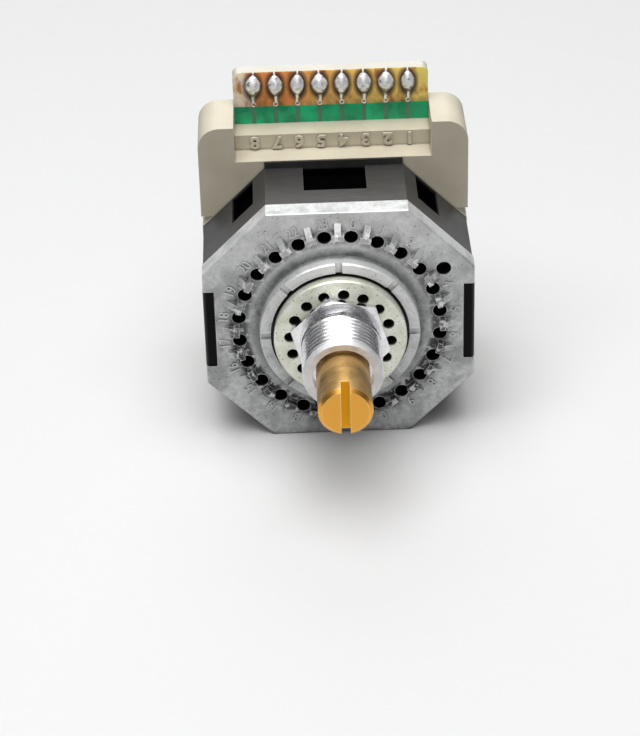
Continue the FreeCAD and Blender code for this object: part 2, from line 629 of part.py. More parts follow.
def window_pockets():
    back = HOUSING_BACK - LIP_THICKNESS
    front = back - WINDOW_LENGTH
    half_width = PLATE_HALF_WIDTH - HOUSING_INSET
    half_height = PLATE_HALF_HEIGHT - HOUSING_INSET
    corner = INDEX_OUTER_RADIUS + PLATE_CORNER_LAND - HOUSING_INSET
    # Each corner side's own middle is off its diagonal, because the plate isn't square, and its pocket
    # lies nearer to the top or the bottom side.
    drift = (PLATE_HALF_WIDTH - PLATE_HALF_HEIGHT) / math.sqrt(2) - CORNER_WINDOW_LEAN
    pockets = []
    for degrees, reach, width, shift in (
        (0, half_height, WINDOW_WIDTH, 0), (180, half_height, WINDOW_WIDTH, 0),
        (90, half_width, WINDOW_WIDTH, 0), (270, half_width, WINDOW_WIDTH, 0),
        (45, corner, CORNER_WINDOW_WIDTH, drift), (225, corner, CORNER_WINDOW_WIDTH, drift),
        (135, corner, CORNER_WINDOW_WIDTH, -drift), (315, corner, CORNER_WINDOW_WIDTH, -drift),
    ):
        pocket = block(shift - width / 2, shift + width / 2, front, back,
                       reach - WINDOW_DEPTH, reach + WINDOW_DEPTH)
        pockets.append(turn(pocket, degrees))
    return pockets


def top_corners(body, top):
    """The two upper edges of an upright block that run along the shaft's direction."""
    return [
        edge for edge in body.Edges
        if all(end.Point.z > top - 1e-6 for end in edge.Vertexes)
        and abs(edge.Vertexes[0].Point.x - edge.Vertexes[1].Point.x) < 1e-6
    ]


def terminal_housing():
    """The octagonal rear housing, with a winged saddle on top that carries the terminal steps."""
    body = prism(octagon(), HOUSING_BACK, BOARD_BACK)
    saddle = block(-WING_HALF_WIDTH, WING_HALF_WIDTH, HOUSING_BACK, BOARD_BACK,
                   PLATE_HALF_HEIGHT - WING_FOOT_DROP, WING_TOP)
    saddle = saddle.makeFillet(WING_CORNER_RADIUS, top_corners(saddle, WING_TOP))
    body = body.fuse(saddle)

    half = TERMINAL_BAY_WIDTH / 2
    lower_step = block(-half, half, HOUSING_BACK, STEP_BACK, LOWER_STEP_HEIGHT, WING_TOP)
    upper_step = block(-half, half, STEP_BACK, BOARD_FRONT, UPPER_STEP_HEIGHT, WING_TOP)
    seat = disc(BOARD_RADIUS + BOARD_CLEARANCE, BOARD_FRONT, BOARD_BACK)
    slot = block(-half, half, BOARD_FRONT, BOARD_BACK, 0, WING_TOP)
    room = disc(CONTACT_ROTOR_RADIUS + CONTACT_ROOM_GAP, HOUSING_BACK + FRONT_WALL, BOARD_FRONT)
    passage = disc(SHAFT_PASSAGE_RADIUS, HOUSING_BACK, HOUSING_BACK + FRONT_WALL)
    body = body.cut([lower_step, upper_step, seat, slot, room, passage])
    body = body.cut(screw_holes(SCREW_RADIUS + SCREW_CLEARANCE, HOUSING_BACK, BOARD_BACK))
    return body.removeSplitter()


def board_outline(front, back):
    tab = block(-BOARD_TAB_WIDTH / 2, BOARD_TAB_WIDTH / 2, front, back, 0, BOARD_TOP)
    tab = tab.makeFillet(BOARD_CORNER_RADIUS, top_corners(tab, BOARD_TOP))
    return disc(BOARD_RADIUS, front, back).fuse(tab).removeSplitter()


def terminal_places():
    return [(number - (TERMINAL_COUNT - 1) / 2) * TERMINAL_PITCH for number in range(TERMINAL_COUNT)]


def circuit_board():
    board = board_outline(BOARD_FRONT, BOARD_BACK)
    pin_holes = [disc(TERMINAL_RADIUS + SEAT_CLEARANCE, BOARD_FRONT, BOARD_BACK, x, TERMINAL_HEIGHT)
                 for x in terminal_places()]
    shaft_hole = disc(JOURNAL_RADIUS + MOUTH_CLEARANCE, BOARD_FRONT, BOARD_BACK)
    fixing = screw_holes(SCREW_RADIUS + SCREW_CLEARANCE, BOARD_FRONT, BOARD_BACK)
    return board.cut(pin_holes + [shaft_hole] + fixing)


def contact_tracks():
    """Copper rings on the board's face: one whole and the others cut into code segments."""
    front = BOARD_FRONT - TRACK_THICKNESS
    tracks = []
    for row, segments in enumerate(TRACK_SEGMENTS):
        inner = TRACK_INNER_RADIUS + row * TRACK_PITCH
        ring = tube(inner + TRACK_WIDTH, inner, front, BOARD_FRONT)
        if segments > 1:
            half = math.pi * inner / segments / 2
            gap = block(-half / 2, half / 2, front, BOARD_FRONT, 0, inner + TRACK_PITCH)
            ring = ring.cut(around(gap, segments))
        tracks.append(ring)
    return Part.makeCompound(tracks)


def terminal_pins():
    front = BOARD_FRONT - TERMINAL_FRONT
    back = BOARD_BACK + TERMINAL_REAR
    return Part.makeCompound([disc(TERMINAL_RADIUS, front, back, x, TERMINAL_HEIGHT) for x in terminal_places()])


def solder_joints():
    """A pointed bead of solder over each terminal, taller than it is wide."""
    steps = [number / BAND_COUNT for number in range(-BAND_COUNT, BAND_COUNT + 1)]
    bulge = [point(SOLDER_RADIUS * (1 - step**2), 0, SOLDER_HALF_HEIGHT * step) for step in steps]
    bead = Part.Face(Part.makePolygon(bulge + bulge[:1])).revolve(point(0, 0, 0), point(0, 0, 1), -180)
    beads = []
    for x in terminal_places():
        copy = bead.copy()
        copy.translate(point(x, BOARD_FRONT, TERMINAL_HEIGHT))
        pin = disc(TERMINAL_RADIUS, BOARD_FRONT - TERMINAL_FRONT, BOARD_BACK, x, TERMINAL_HEIGHT)
        beads.append(copy.cut(pin))
    return Part.makeCompound(beads)


def rear_cover():
    cover = prism(octagon(), BOARD_BACK, COVER_BACK)
    cover = cover.makeChamfer(COVER_EDGE, edges_at(cover, COVER_BACK))
    boss = disc(BOSS_RADIUS, BOARD_BACK, BOSS_BACK)
    boss = boss.makeChamfer(COVER_EDGE, edges_at(boss, BOSS_BACK))
    pocket = disc(REAR_BUSH_RADIUS + SEAT_CLEARANCE, BOARD_BACK, BOSS_BACK - BOSS_END_WALL)
    fixing = screw_holes(SCREW_RADIUS + SCREW_CLEARANCE, BOARD_BACK, COVER_BACK)
    return cover.fuse(boss).cut([pocket] + fixing)


def rear_bush():
    return tube(REAR_BUSH_RADIUS, JOURNAL_RADIUS + RUNNING_CLEARANCE, BOARD_BACK, BOSS_BACK - BOSS_END_WALL)


def assembly_screws():
    """Four slotted screws from the rear cover into the mounting plate."""
    screws = []
    for x, z in screw_places():
        shank = disc(SCREW_RADIUS, PLATE_BACK - SCREW_GRIP, COVER_BACK, x, z)
        head = disc(SCREW_HEAD_RADIUS, COVER_BACK, COVER_BACK + SCREW_HEAD_HEIGHT, x, z)
        head = head.makeChamfer(SCREW_HEAD_HEIGHT / 3, edges_at(head, COVER_BACK + SCREW_HEAD_HEIGHT))
        slot = block(x - SCREW_HEAD_RADIUS, x + SCREW_HEAD_RADIUS,
                     COVER_BACK + SCREW_HEAD_HEIGHT - SCREW_SLOT_DEPTH, COVER_BACK + SCREW_HEAD_HEIGHT,
                     z - SCREW_SLOT_WIDTH / 2, z + SCREW_SLOT_WIDTH / 2)
        screws.append(shank.fuse(head).cut(slot))
    return Part.makeCompound(screws)


def spacer_tube():
    bore = STEM_RADIUS + SEAT_CLEARANCE
    return tube(bore + SPACER_WALL, bore, ROTOR_BACK + END_PLAY, CONTACT_ROTOR_FRONT - END_PLAY)


def contact_rotor():
    """A moulded disc keyed to the shaft, with a thin web between its hub and rim."""
    middle = (CONTACT_ROTOR_FRONT + CONTACT_ROTOR_BACK) / 2
    hub = STEM_RADIUS + CONTACT_ROTOR_HUB_WALL
    rim = CONTACT_ROTOR_RADIUS - SPACER_WALL
    wheel = turned([
        (0, CONTACT_ROTOR_FRONT),
        (hub, CONTACT_ROTOR_FRONT),
        (hub, middle),
        (rim, middle),
        (rim, CONTACT_ROTOR_FRONT),
        (CONTACT_ROTOR_RADIUS, CONTACT_ROTOR_FRONT),
        (CONTACT_ROTOR_RADIUS, CONTACT_ROTOR_BACK),
        (0, CONTACT_ROTOR_BACK),
    ])
    return wheel.cut(drive_bore(CONTACT_ROTOR_FRONT, CONTACT_ROTOR_BACK, RUNNING_CLEARANCE))


def contact_brushes():
    """A spring-metal ring with one bent finger for each track."""
    front = CONTACT_ROTOR_BACK
    back = front + BRUSH_THICKNESS
    bore = STEM_RADIUS + SEAT_CLEARANCE
    outer = bore + BRUSH_RING_WALL
    ring = tube(outer, bore, front, back)
    tip_y = BOARD_FRONT - TRACK_THICKNESS - BRUSH_TIP_GAP
    fingers = []
    for number in range(len(TRACK_SEGMENTS)):
        tip_radius = TRACK_INNER_RADIUS + TRACK_WIDTH / 2 + number * TRACK_PITCH
        side = [
            point(-BRUSH_WIDTH / 2, front, bore + BRUSH_RING_WALL / 2),
            point(-BRUSH_WIDTH / 2, front, outer),
            point(-BRUSH_WIDTH / 2, tip_y - BRUSH_THICKNESS, tip_radius + BRUSH_THICKNESS / 2),
            point(-BRUSH_WIDTH / 2, tip_y, tip_radius + BRUSH_THICKNESS / 2),
            point(-BRUSH_WIDTH / 2, tip_y, tip_radius - BRUSH_THICKNESS / 2),
            point(-BRUSH_WIDTH / 2, back, outer - BRUSH_THICKNESS),
            point(-BRUSH_WIDTH / 2, back, bore + BRUSH_RING_WALL / 2),
        ]
        finger = Part.Face(Part.makePolygon(side + side[:1])).extrude(point(BRUSH_WIDTH, 0, 0))
        fingers.append(turn(finger, 360.0 * number / len(TRACK_SEGMENTS) + 90))
    return ring.fuse(fingers).removeSplitter()


PIECES = {
    "mounting_plate": mounting_plate,
    "snap_ring": snap_ring,
    "index_washer": index_washer,
    "threaded_bushing": threaded_bushing,
    "front_housing": front_housing,
    "notch_keys": notch_keys,
    "detent_ring": detent_ring,
    "stop_pin": stop_pin,
    "terminal_housing": terminal_housing,
    "circuit_board": circuit_board,
    "contact_tracks": contact_tracks,
    "terminal_pins": terminal_pins,
    "solder_joints": solder_joints,
    "rear_cover": rear_cover,
    "rear_bush": rear_bush,
    "assembly_screws": assembly_screws,
    "shaft": shaft,
    "shaft_seal": shaft_seal,
    "thrust_washer": thrust_washer,
    "retaining_clip": retaining_clip,
    "stop_arm": stop_arm,
    "detent_rotor": detent_rotor,
    "spacer_tube": spacer_tube,
    "contact_rotor": contact_rotor,
    "contact_brushes": contact_brushes,
    "detent_ball_top": lambda: detent_ball(0),
    "detent_ball_bottom": lambda: detent_ball(180),
    "detent_spring_top": lambda: detent_spring(0),
    "detent_spring_bottom": lambda: detent_spring(180),
}

os.makedirs("parts", exist_ok=True)
for name, make in PIECES.items():
    piece = make()
    piece.exportStep(f"parts/{name}.step")
    print(name, "solids", len(piece.Solids), "valid", piece.isValid(), "volume", round(piece.Volume, 2))
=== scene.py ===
"""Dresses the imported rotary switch: finishes, thread, raised numbers, solder, board, camera and light.

Lengths are metres in the frame of the CAD: +X to the right and +Z up as the panel is faced, +Y away
from the viewer, with the origin on the shaft's axis at the front of the bushing's hexagon.
"""
import logging
import math
from dataclasses import dataclass
from enum import Enum

import bmesh
import bpy
from mathutils import Matrix, Vector


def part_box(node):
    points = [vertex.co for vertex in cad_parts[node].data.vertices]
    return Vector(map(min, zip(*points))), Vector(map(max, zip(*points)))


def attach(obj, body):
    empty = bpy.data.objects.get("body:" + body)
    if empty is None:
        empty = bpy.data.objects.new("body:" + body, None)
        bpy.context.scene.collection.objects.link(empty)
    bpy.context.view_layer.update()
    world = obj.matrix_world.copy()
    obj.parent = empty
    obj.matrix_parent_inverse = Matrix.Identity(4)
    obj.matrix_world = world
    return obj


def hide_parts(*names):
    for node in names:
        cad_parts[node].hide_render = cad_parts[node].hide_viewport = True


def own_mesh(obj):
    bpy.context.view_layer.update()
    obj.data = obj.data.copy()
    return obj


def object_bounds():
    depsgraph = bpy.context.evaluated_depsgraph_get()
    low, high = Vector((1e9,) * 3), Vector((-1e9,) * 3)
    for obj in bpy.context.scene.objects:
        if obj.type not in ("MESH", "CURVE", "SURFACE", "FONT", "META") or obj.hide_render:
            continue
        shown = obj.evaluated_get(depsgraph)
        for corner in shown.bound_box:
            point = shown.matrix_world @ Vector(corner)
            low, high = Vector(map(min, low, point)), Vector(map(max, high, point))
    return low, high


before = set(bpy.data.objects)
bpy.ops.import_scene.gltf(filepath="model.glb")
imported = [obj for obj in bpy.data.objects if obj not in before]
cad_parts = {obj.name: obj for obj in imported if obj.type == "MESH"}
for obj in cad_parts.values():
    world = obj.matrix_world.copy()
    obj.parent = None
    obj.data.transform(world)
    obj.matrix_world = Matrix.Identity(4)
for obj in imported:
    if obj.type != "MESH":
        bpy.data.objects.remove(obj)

LOG = logging.getLogger("rotary_switch")
MM = 0.001
CAD_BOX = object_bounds()
LOCATING_HOLE = (11.8 * MM, 6.95 * MM)
SHAFT_DIRECTION = Vector((0.0, 1.0, 0.0))
MERGE_DISTANCE = 1e-7

Material = bpy.types.Material
Socket = bpy.types.NodeSocket
Value = Socket | float
Colour = tuple[float, float, float]
Triple = tuple[float, float, float]
Span = tuple[float, float]


class Body(Enum):
    """The rigid bodies of the frame that new pieces ride on."""

    HOUSING = "housing"
    ROTOR = "rotor"


class Facing(Enum):
    """Which way up raised numbers stand on the part."""

    OUTWARDS = "tops point away from the shaft"
    INVERTED = "tops point down, as read from above the terminals"


class NodeNet:
    """Adds and links the nodes of one node tree."""

    def __init__(self, tree: bpy.types.NodeTree) -> None:
        """Works on a tree that exists."""
        self.tree = tree

    def node(self, kind: str, **settings: object) -> bpy.types.Node:
        """Makes a node and sets its properties.

        Args:
            kind: the node's type name after "ShaderNode".
            settings: properties of the node by name.

        Returns:
            The new node.
        """
        made = self.tree.nodes.new("ShaderNode" + kind)
        for name, setting in settings.items():
            setattr(made, name, setting)
        return made

    def feed(self, target: Socket, value: object) -> None:
        """Gives an input its value.

        Args:
            target: the input.
            value: a socket to link, or a plain value that the input keeps itself.
        """
        if isinstance(value, Socket):
            self.tree.links.new(value, target)
        else:
            target.default_value = value

    def math(self, operation: str, first: Value, second: Value = 0.0) -> Socket:
        """Does one sum.

        Args:
            operation: the name of the operation.
            first: a socket or a number.
            second: a socket or a number.

        Returns:
            The result.
        """
        made = self.node("Math", operation=operation)
        self.feed(made.inputs[0], first)
        self.feed(made.inputs[1], second)
        return made.outputs[0]

    def plus(self, first: Value, second: Value) -> Socket:
        """Adds two values."""
        return self.math("ADD", first, second)

    def minus(self, first: Value, second: Value) -> Socket:
        """Takes the second value from the first."""
        return self.math("SUBTRACT", first, second)

    def times(self, first: Value, second: Value) -> Socket:
        """Multiplies two values."""
        return self.math("MULTIPLY", first, second)

    def ratio(self, first: Value, second: Value) -> Socket:
        """Divides the first value by the second."""
        return self.math("DIVIDE", first, second)

    def larger(self, first: Value, second: Value) -> Socket:
        """The larger of two values."""
        return self.math("MAXIMUM", first, second)

    def smaller(self, first: Value, second: Value) -> Socket:
        """The smaller of two values."""
        return self.math("MINIMUM", first, second)

    def over(self, value: Value, limit: float) -> Socket:
        """1 where a value is over a limit, 0 elsewhere."""
        return self.math("GREATER_THAN", value, limit)

    def under(self, value: Value, limit: float) -> Socket:
        """1 where a value is under a limit, 0 elsewhere."""
        return self.math("LESS_THAN", value, limit)

    def size(self, value: Value) -> Socket:
        """A value without its sign."""
        return self.math("ABSOLUTE", value)

    def distance(self, first: Value, second: Value) -> Socket:
        """The length of a slanted line from its two straight parts."""
        return self.math("SQRT", self.plus(self.times(first, first), self.times(second, second)))

    def dot(self, first: Socket, second: object) -> Socket:
        """The dot product of two vectors.

        Args:
            first: a vector socket.
            second: a vector socket or a vector.

        Returns:
            The product: the cosine between them where both have length 1.
        """
        made = self.node("VectorMath", operation="DOT_PRODUCT")
        self.feed(made.inputs[0], first)
        self.feed(made.inputs[1], second)
        return made.outputs["Value"]

    def ramp(self, value: Socket, stops: list[tuple[float, Colour]]) -> Socket:
        """Turns a value into a colour.

        Args:
            value: the socket to read.
            stops: places from 0 to 1 with their colours.

        Returns:
            The colour.
        """
        made = self.node("ValToRGB")
        entries = made.color_ramp.elements
        while len(entries) < len(stops):
            entries.new(0.5)
        for entry, (place, colour) in zip(entries, stops):
            entry.position = place
            entry.color = (*colour, 1.0)
        self.feed(made.inputs["Fac"], value)
        return made.outputs["Color"]

    def mapped(self, value: Value, source: Span, target: Span = (0.0, 1.0)) -> Socket:
        """Maps one range of values to another and holds it at both ends.

        Args:
            value: the value to map.
            source: the values that become the ends of the target.
            target: the results at those values.

        Returns:
            The mapped value.
        """
        made = self.node("MapRange")
        for name, end in zip(("From Min", "From Max", "To Min", "To Max"), (*source, *target)):
            made.inputs[name].default_value = end
        self.feed(made.inputs["Value"], value)
        return made.outputs["Result"]

    def mix(self, share: Socket, first: object, second: object) -> Socket:
        """Blends two colours.

        Args:
            share: 0 for the first colour, 1 for the second.
            first: a colour socket or a colour.
            second: a colour socket or a colour.

        Returns:
            The blended colour.
        """
        made = self.node("Mix", data_type="RGBA")
        self.feed(made.inputs["Factor"], share)
        for target, colour in ((made.inputs[6], first), (made.inputs[7], second)):
            self.feed(target, colour if isinstance(colour, Socket) else (*colour, 1.0))
        return made.outputs[2]

    def seen(self) -> Socket:
        """Whether a ray shows the background: seen by the camera, in metal or through glass.

        Returns:
            1 for such rays.
        """
        rays = self.node("LightPath").outputs
        direct = self.larger(rays["Is Camera Ray"], rays["Is Glossy Ray"])
        return self.larger(direct, rays["Is Transmission Ray"])


class Shading(NodeNet):
    """Adds and links the nodes of one material."""

    def __init__(self, name: str) -> None:
        """Starts a material with its main shader and object coordinates.

        Args:
            name: the material's name.
        """
        self.material = bpy.data.materials.new(name)
        self.material.use_nodes = True
        super().__init__(self.material.node_tree)
        self.shader = self.tree.nodes["Principled BSDF"]
        self.place = self.node("TexCoord").outputs["Object"]

    def give(self, name: str, value: object) -> None:
        """Gives the main shader's input a socket or a plain value."""
        self.feed(self.shader.inputs[name], value)

    def noise(self, size: float, detail: float = 4.0, stretch: Triple = (1.0, 1.0, 1.0)) -> Socket:
        """Fractal noise on object coordinates.

        Args:
            size: the width of its largest blotches, in metres.
            detail: how many finer layers it has.
            stretch: how far the pattern is drawn out along x, y and z.

        Returns:
            The noise value, about 0 to 1.
        """
        mapping = self.node("Mapping")
        mapping.inputs["Scale"].default_value = [1.0 / (size * part) for part in stretch]
        self.feed(mapping.inputs["Vector"], self.place)
        made = self.node("TexNoise")
        made.inputs["Scale"].default_value = 1.0
        made.inputs["Detail"].default_value = detail
        self.feed(made.inputs["Vector"], mapping.outputs["Vector"])
        return made.outputs["Fac"]

    def spread(self, noise: Socket, low: float, high: float) -> Socket:
        """Maps noise, which is mostly between 0.3 and 0.7, to a range."""
        return self.mapped(noise, (0.3, 0.7), (low, high))

    def bump(self, height: Socket, depth: float) -> None:
        """Gives the surface a fine relief.

        Args:
            height: the relief's value.
            depth: its depth in metres.
        """
        made = self.node("Bump")
        made.inputs["Distance"].default_value = depth
        self.feed(made.inputs["Height"], height)
        self.give("Normal", made.outputs["Normal"])

    def edge(self, radius: float) -> Socket:
        """How near a point is to a worn edge: 0 on a flat face, rising to 1 on an edge.

        Args:
            radius: how far the wear reaches from the edge, in metres.

        Returns:
            The wear value.
        """
        soft = self.node("Bevel", samples=4)
        soft.inputs["Radius"].default_value = radius
        sharp = self.node("NewGeometry")
        turned = self.dot(soft.outputs["Normal"], sharp.outputs["Normal"])
        return self.mapped(turned, (0.995, 0.88))

    def openness(self, reach: float) -> Socket:
        """How open a point is: near 0 in corners and holes, 1 on open faces.

        Args:
            reach: how far away a wall still counts, in metres.

        Returns:
            The openness value.
        """
        made = self.node("AmbientOcclusion", samples=8)
        made.inputs["Distance"].default_value = reach
        return made.outputs["AO"]

    def axes(self) -> tuple[Socket, Socket, Socket]:
        """Splits the object coordinates.

        Returns:
            The sockets of x, y and z.
        """
        split = self.node("SeparateXYZ")
        self.feed(split.inputs["Vector"], self.place)
        return split.outputs["X"], split.outputs["Y"], split.outputs["Z"]

    def facing(self, direction: Triple) -> Socket:
        """The cosine between the unbumped surface's direction and one of length 1 on the object."""
        return self.dot(self.node("TexCoord").outputs["Normal"], direction)

    def radius(self, x: float = 0.0, z: float = 0.0) -> Socket:
        """The distance from a line along the shaft's direction.

        Args:
            x: where the line stands, in metres.
            z: where the line stands, in metres.

        Returns:
            The distance in metres.
        """
        across, _, up = self.axes()
        return self.distance(self.minus(across, x), self.minus(up, z))


@dataclass(frozen=True)
class CastMetal:
    """A tumbled zinc casting: satin grey, mottled, pitted, bright along worn edges, with painted shade in its
    hollows and round the collar and lugs, and a painted highlight on what stands proud.
    """

    name: str
    dark: Colour = (0.335, 0.35, 0.35)
    light: Colour = (0.67, 0.69, 0.688)
    # Pale colour of worn edges, also used for the painted highlight.
    bright: Colour = (0.92, 0.925, 0.925)
    # Near-black for the pits and for painted shade.
    grime: Colour = (0.04, 0.04, 0.04)
    # Near-black painted shade on the walls of the holes and of the collar's recess.
    bore: Colour = (0.006, 0.006, 0.006)
    metal: float = 0.52
    roughness: Span = (0.36, 0.52)
    blotch: float = 2.4 * MM
    grain: float = 0.5 * MM
    grain_depth: float = 0.03 * MM
    pit: float = 0.22 * MM
    pit_noise: Span = (0.62, 0.72)
    pit_patches: Span = (0.56, 0.40)
    edge_wear: float = 0.12 * MM
    # Reach of the painted shade in corners.
    corner: float = 1.2 * MM
    corner_openness: Span = (0.30, 0.92)

    face: float = 3.6 * MM
    face_skin: float = 0.1 * MM
    top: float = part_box("mounting_plate")[1][2]
    top_skin: float = 0.05 * MM
    hole_circle: float = 11.46 * MM
    ring_reach: float = 12.35 * MM
    hole_reach: float = 0.95 * MM
    hole_shade: float = 0.35 * MM
    recess_reach: float = 7.8 * MM
    recess_front: float = 2.9 * MM
    collar_reach: float = 9.05 * MM

    # Heights over which the painted light and painted shade change from the plate's bottom to its top.
    handled_height: Span = (-3.0 * MM, 9.0 * MM)
    # Painted highlight on what stands proud, and painted light towards the top.
    proud_step: Span = (0.3 * MM, 0.7 * MM)
    proud_low: float = 0.15
    proud_gain: float = 0.70
    upper_height: Span = (3.0 * MM, 13.0 * MM)
    upper_share: float = 0.42
    top_loss: float = 0.25
    # A band of painted shade at the collar's foot.
    foot_band: Span = (1.3 * MM, 0.5 * MM)
    foot_share: Span = (0.05, 0.75)
    # Patches of painted shade round the circle of holes, for the lugs' shadows, stronger towards the bottom.
    smear: float = 0.7 * MM
    smear_noise: Span = (0.42, 0.49)
    smear_band: Span = (1.3 * MM, 0.8 * MM)
    smear_share: float = 0.95
    smear_loss: float = 0.55

    def bores(self, shading: Shading) -> Socket:
        """Finds the walls of the through holes and the collar's recess, which are painted near-black as
        shade.

        Args:
            shading: the material under construction.

        Returns:
            1 there, 0 elsewhere.
        """
        along = shading.axes()[1]
        below = shading.mapped(along, (self.face, self.face + self.hole_shade))
        ring = shading.under(shading.radius(), self.ring_reach)
        hole = shading.under(shading.radius(*LOCATING_HOLE), self.hole_reach)
        holes = shading.times(below, shading.larger(ring, hole))
        recess = shading.under(shading.radius(), self.recess_reach)
        deep = shading.over(along, self.recess_front)
        return shading.larger(holes, shading.times(recess, deep))

    def rubbed(self, shading: Shading, high: Socket) -> Socket:
        """How far the casting is painted pale: partly wear, mostly a painted highlight on what stands proud,
        stronger towards the top, and painted light that grows towards the top.

        Args:
            shading: the material under construction.
            high: 0 at the bottom of the plate, 1 at its top.

        Returns:
            The share of the pale colour.
        """
        _, along, up = shading.axes()
        step_low, step_high = self.proud_step
        proud = shading.mapped(along, (self.face - step_low, self.face - step_high))
        proud = shading.times(proud, shading.plus(shading.times(high, self.proud_gain), self.proud_low))
        upper = shading.times(shading.mapped(up, self.upper_height), self.upper_share)
        on_top = shading.over(up, self.top - self.top_skin)
        return shading.larger(proud, shading.minus(upper, shading.times(on_top, self.top_loss)))

    def dirtied(self, shading: Shading, high: Socket, patchy: Socket) -> Socket:
        """How far painted shade darkens the casting at the collar's foot and in patches round the circle of
        holes, more towards the bottom.

        Args:
            shading: the material under construction.
            high: 0 at the bottom of the plate, 1 at its top.
            patchy: noise that makes the painted shade uneven.

        Returns:
            The share of the near-black shade colour.
        """
        flat = shading.over(shading.axes()[1], self.face - self.face_skin)
        reach = shading.radius()
        band_out, band_in = self.foot_band
        foot = shading.mapped(reach, (self.collar_reach + band_out, self.collar_reach + band_in))
        foot = shading.times(shading.times(foot, flat), shading.spread(patchy, *self.foot_share))
        off_circle = shading.size(shading.minus(reach, self.hole_circle))
        lug_shade = shading.mapped(shading.noise(self.smear), self.smear_noise)
        lug_shade = shading.times(lug_shade, shading.mapped(off_circle, self.smear_band))
        fading = shading.minus(self.smear_share, shading.times(high, self.smear_loss))
        return shading.larger(foot, shading.times(lug_shade, fading))

    def build(self) -> Material:
        """Makes the material.

        Returns:
            The finished material.
        """
        shading = Shading(self.name)
        mottle = shading.noise(self.blotch, detail=8.0)
        fine = shading.noise(self.grain, detail=5.0)
        tint = shading.ramp(mottle, [(0.36, self.dark), (0.56, self.light)])
        tint = shading.mix(shading.spread(fine, 0.0, 0.6), tint, self.dark)

        # high sets how the painted light and painted shade change from the bottom of the plate to its top.
        high = shading.mapped(shading.axes()[2], self.handled_height)
        # Painted highlight on what stands proud and painted light towards the top, partly wear.
        tint = shading.mix(self.rubbed(shading, high), tint, self.bright)
        # Painted shade at the collar's foot and round the circle of holes.
        tint = shading.mix(self.dirtied(shading, high, mottle), tint, self.grime)

        pits = shading.mapped(shading.noise(self.pit, detail=3.0), self.pit_noise)
        tint = shading.mix(shading.times(pits, shading.mapped(mottle, self.pit_patches)), tint, self.grime)
        # Painted shade in corners and holes, from ambient occlusion.
        shut = shading.minus(1.0, shading.mapped(shading.openness(self.corner), self.corner_openness))
        tint = shading.mix(shading.times(shut, shading.spread(fine, 0.4, 1.0)), tint, self.grime)
        tint = shading.mix(shading.edge(self.edge_wear), tint, self.bright)
        # The walls of the holes and the collar's recess are painted near-black as shade.
        shading.give("Base Color", shading.mix(self.bores(shading), tint, self.bore))
        shading.give("Roughness", shading.spread(mottle, *self.roughness))
        shading.give("Metallic", self.metal)
        shading.bump(fine, self.grain_depth)
        return shading.material


@dataclass(frozen=True)
class PlatedMetal:
    """Bright plating over turned or pressed metal, with fine marks, a slight haze and painted shade in
    corners, holes and behind a rim.
    """

    name: str
    colour: Colour
    haze: Colour
    roughness: float = 0.22
    metal: float = 0.9
    blotch: float = 1.6 * MM
    mark: float = 0.35 * MM
    mark_depth: float = 0.003 * MM
    # Reach of the painted shade in corners.
    corner: float = 0.5 * MM
    corner_openness: Span = (0.15, 0.6)
    corner_tint: float = 0.25
    satin_front: float = -1.0
    satin_edge: float = 0.1 * MM
    satin_roughness: float = 0.25
    satin_metal_loss: float = 0.5
    holes_behind: float = 1.0
    holes_within: float = 6.9 * MM
    rim_behind: float = 1.0
    shade_edge: float = 0.3 * MM
    # Colour of the painted shade in the holes and behind the rim.
    hole_wall: Colour = (0.05, 0.055, 0.035)

    def shaded(self, shading: Shading) -> Socket:
        """Finds the walls of small holes and a rim that lie in shade.

        Args:
            shading: the material under construction.

        Returns:
            1 there, 0 elsewhere.
        """
        along = shading.axes()[1]
        behind = shading.mapped(along, (self.holes_behind, self.holes_behind + self.shade_edge))
        within = shading.under(shading.radius(), self.holes_within)
        rim = shading.mapped(along, (self.rim_behind, self.rim_behind + self.shade_edge))
        return shading.larger(rim, shading.times(behind, within))

    def build(self) -> Material:
        """Makes the material: dull in front of satin_front, with painted shade in the holes and behind
        rim_behind.

        Returns:
            The finished material.
        """
        shading = Shading(self.name)
        cloud = shading.noise(self.blotch, detail=6.0)
        tint = shading.ramp(cloud, [(0.38, self.haze), (0.6, self.colour)])
        # Painted shade in corners, from ambient occlusion.
        open_face = shading.mapped(shading.openness(self.corner), self.corner_openness)
        tint = shading.mix(open_face, tuple(part * self.corner_tint for part in self.haze), tint)
        # Painted shade in the holes and behind the rim.
        shading.give("Base Color", shading.mix(self.shaded(shading), tint, self.hole_wall))

        marks = shading.noise(self.mark, detail=3.0, stretch=(1.0, 0.2, 1.0))
        dull = shading.mapped(shading.axes()[1], (self.satin_front + self.satin_edge, self.satin_front))
        rough = shading.spread(marks, self.roughness * 0.7, self.roughness * 1.5)
        shading.give("Roughness", shading.plus(rough, shading.times(dull, self.satin_roughness)))
        shading.give("Metallic", shading.minus(self.metal, shading.times(dull, self.satin_metal_loss)))
        shading.bump(marks, self.mark_depth)
        return shading.material


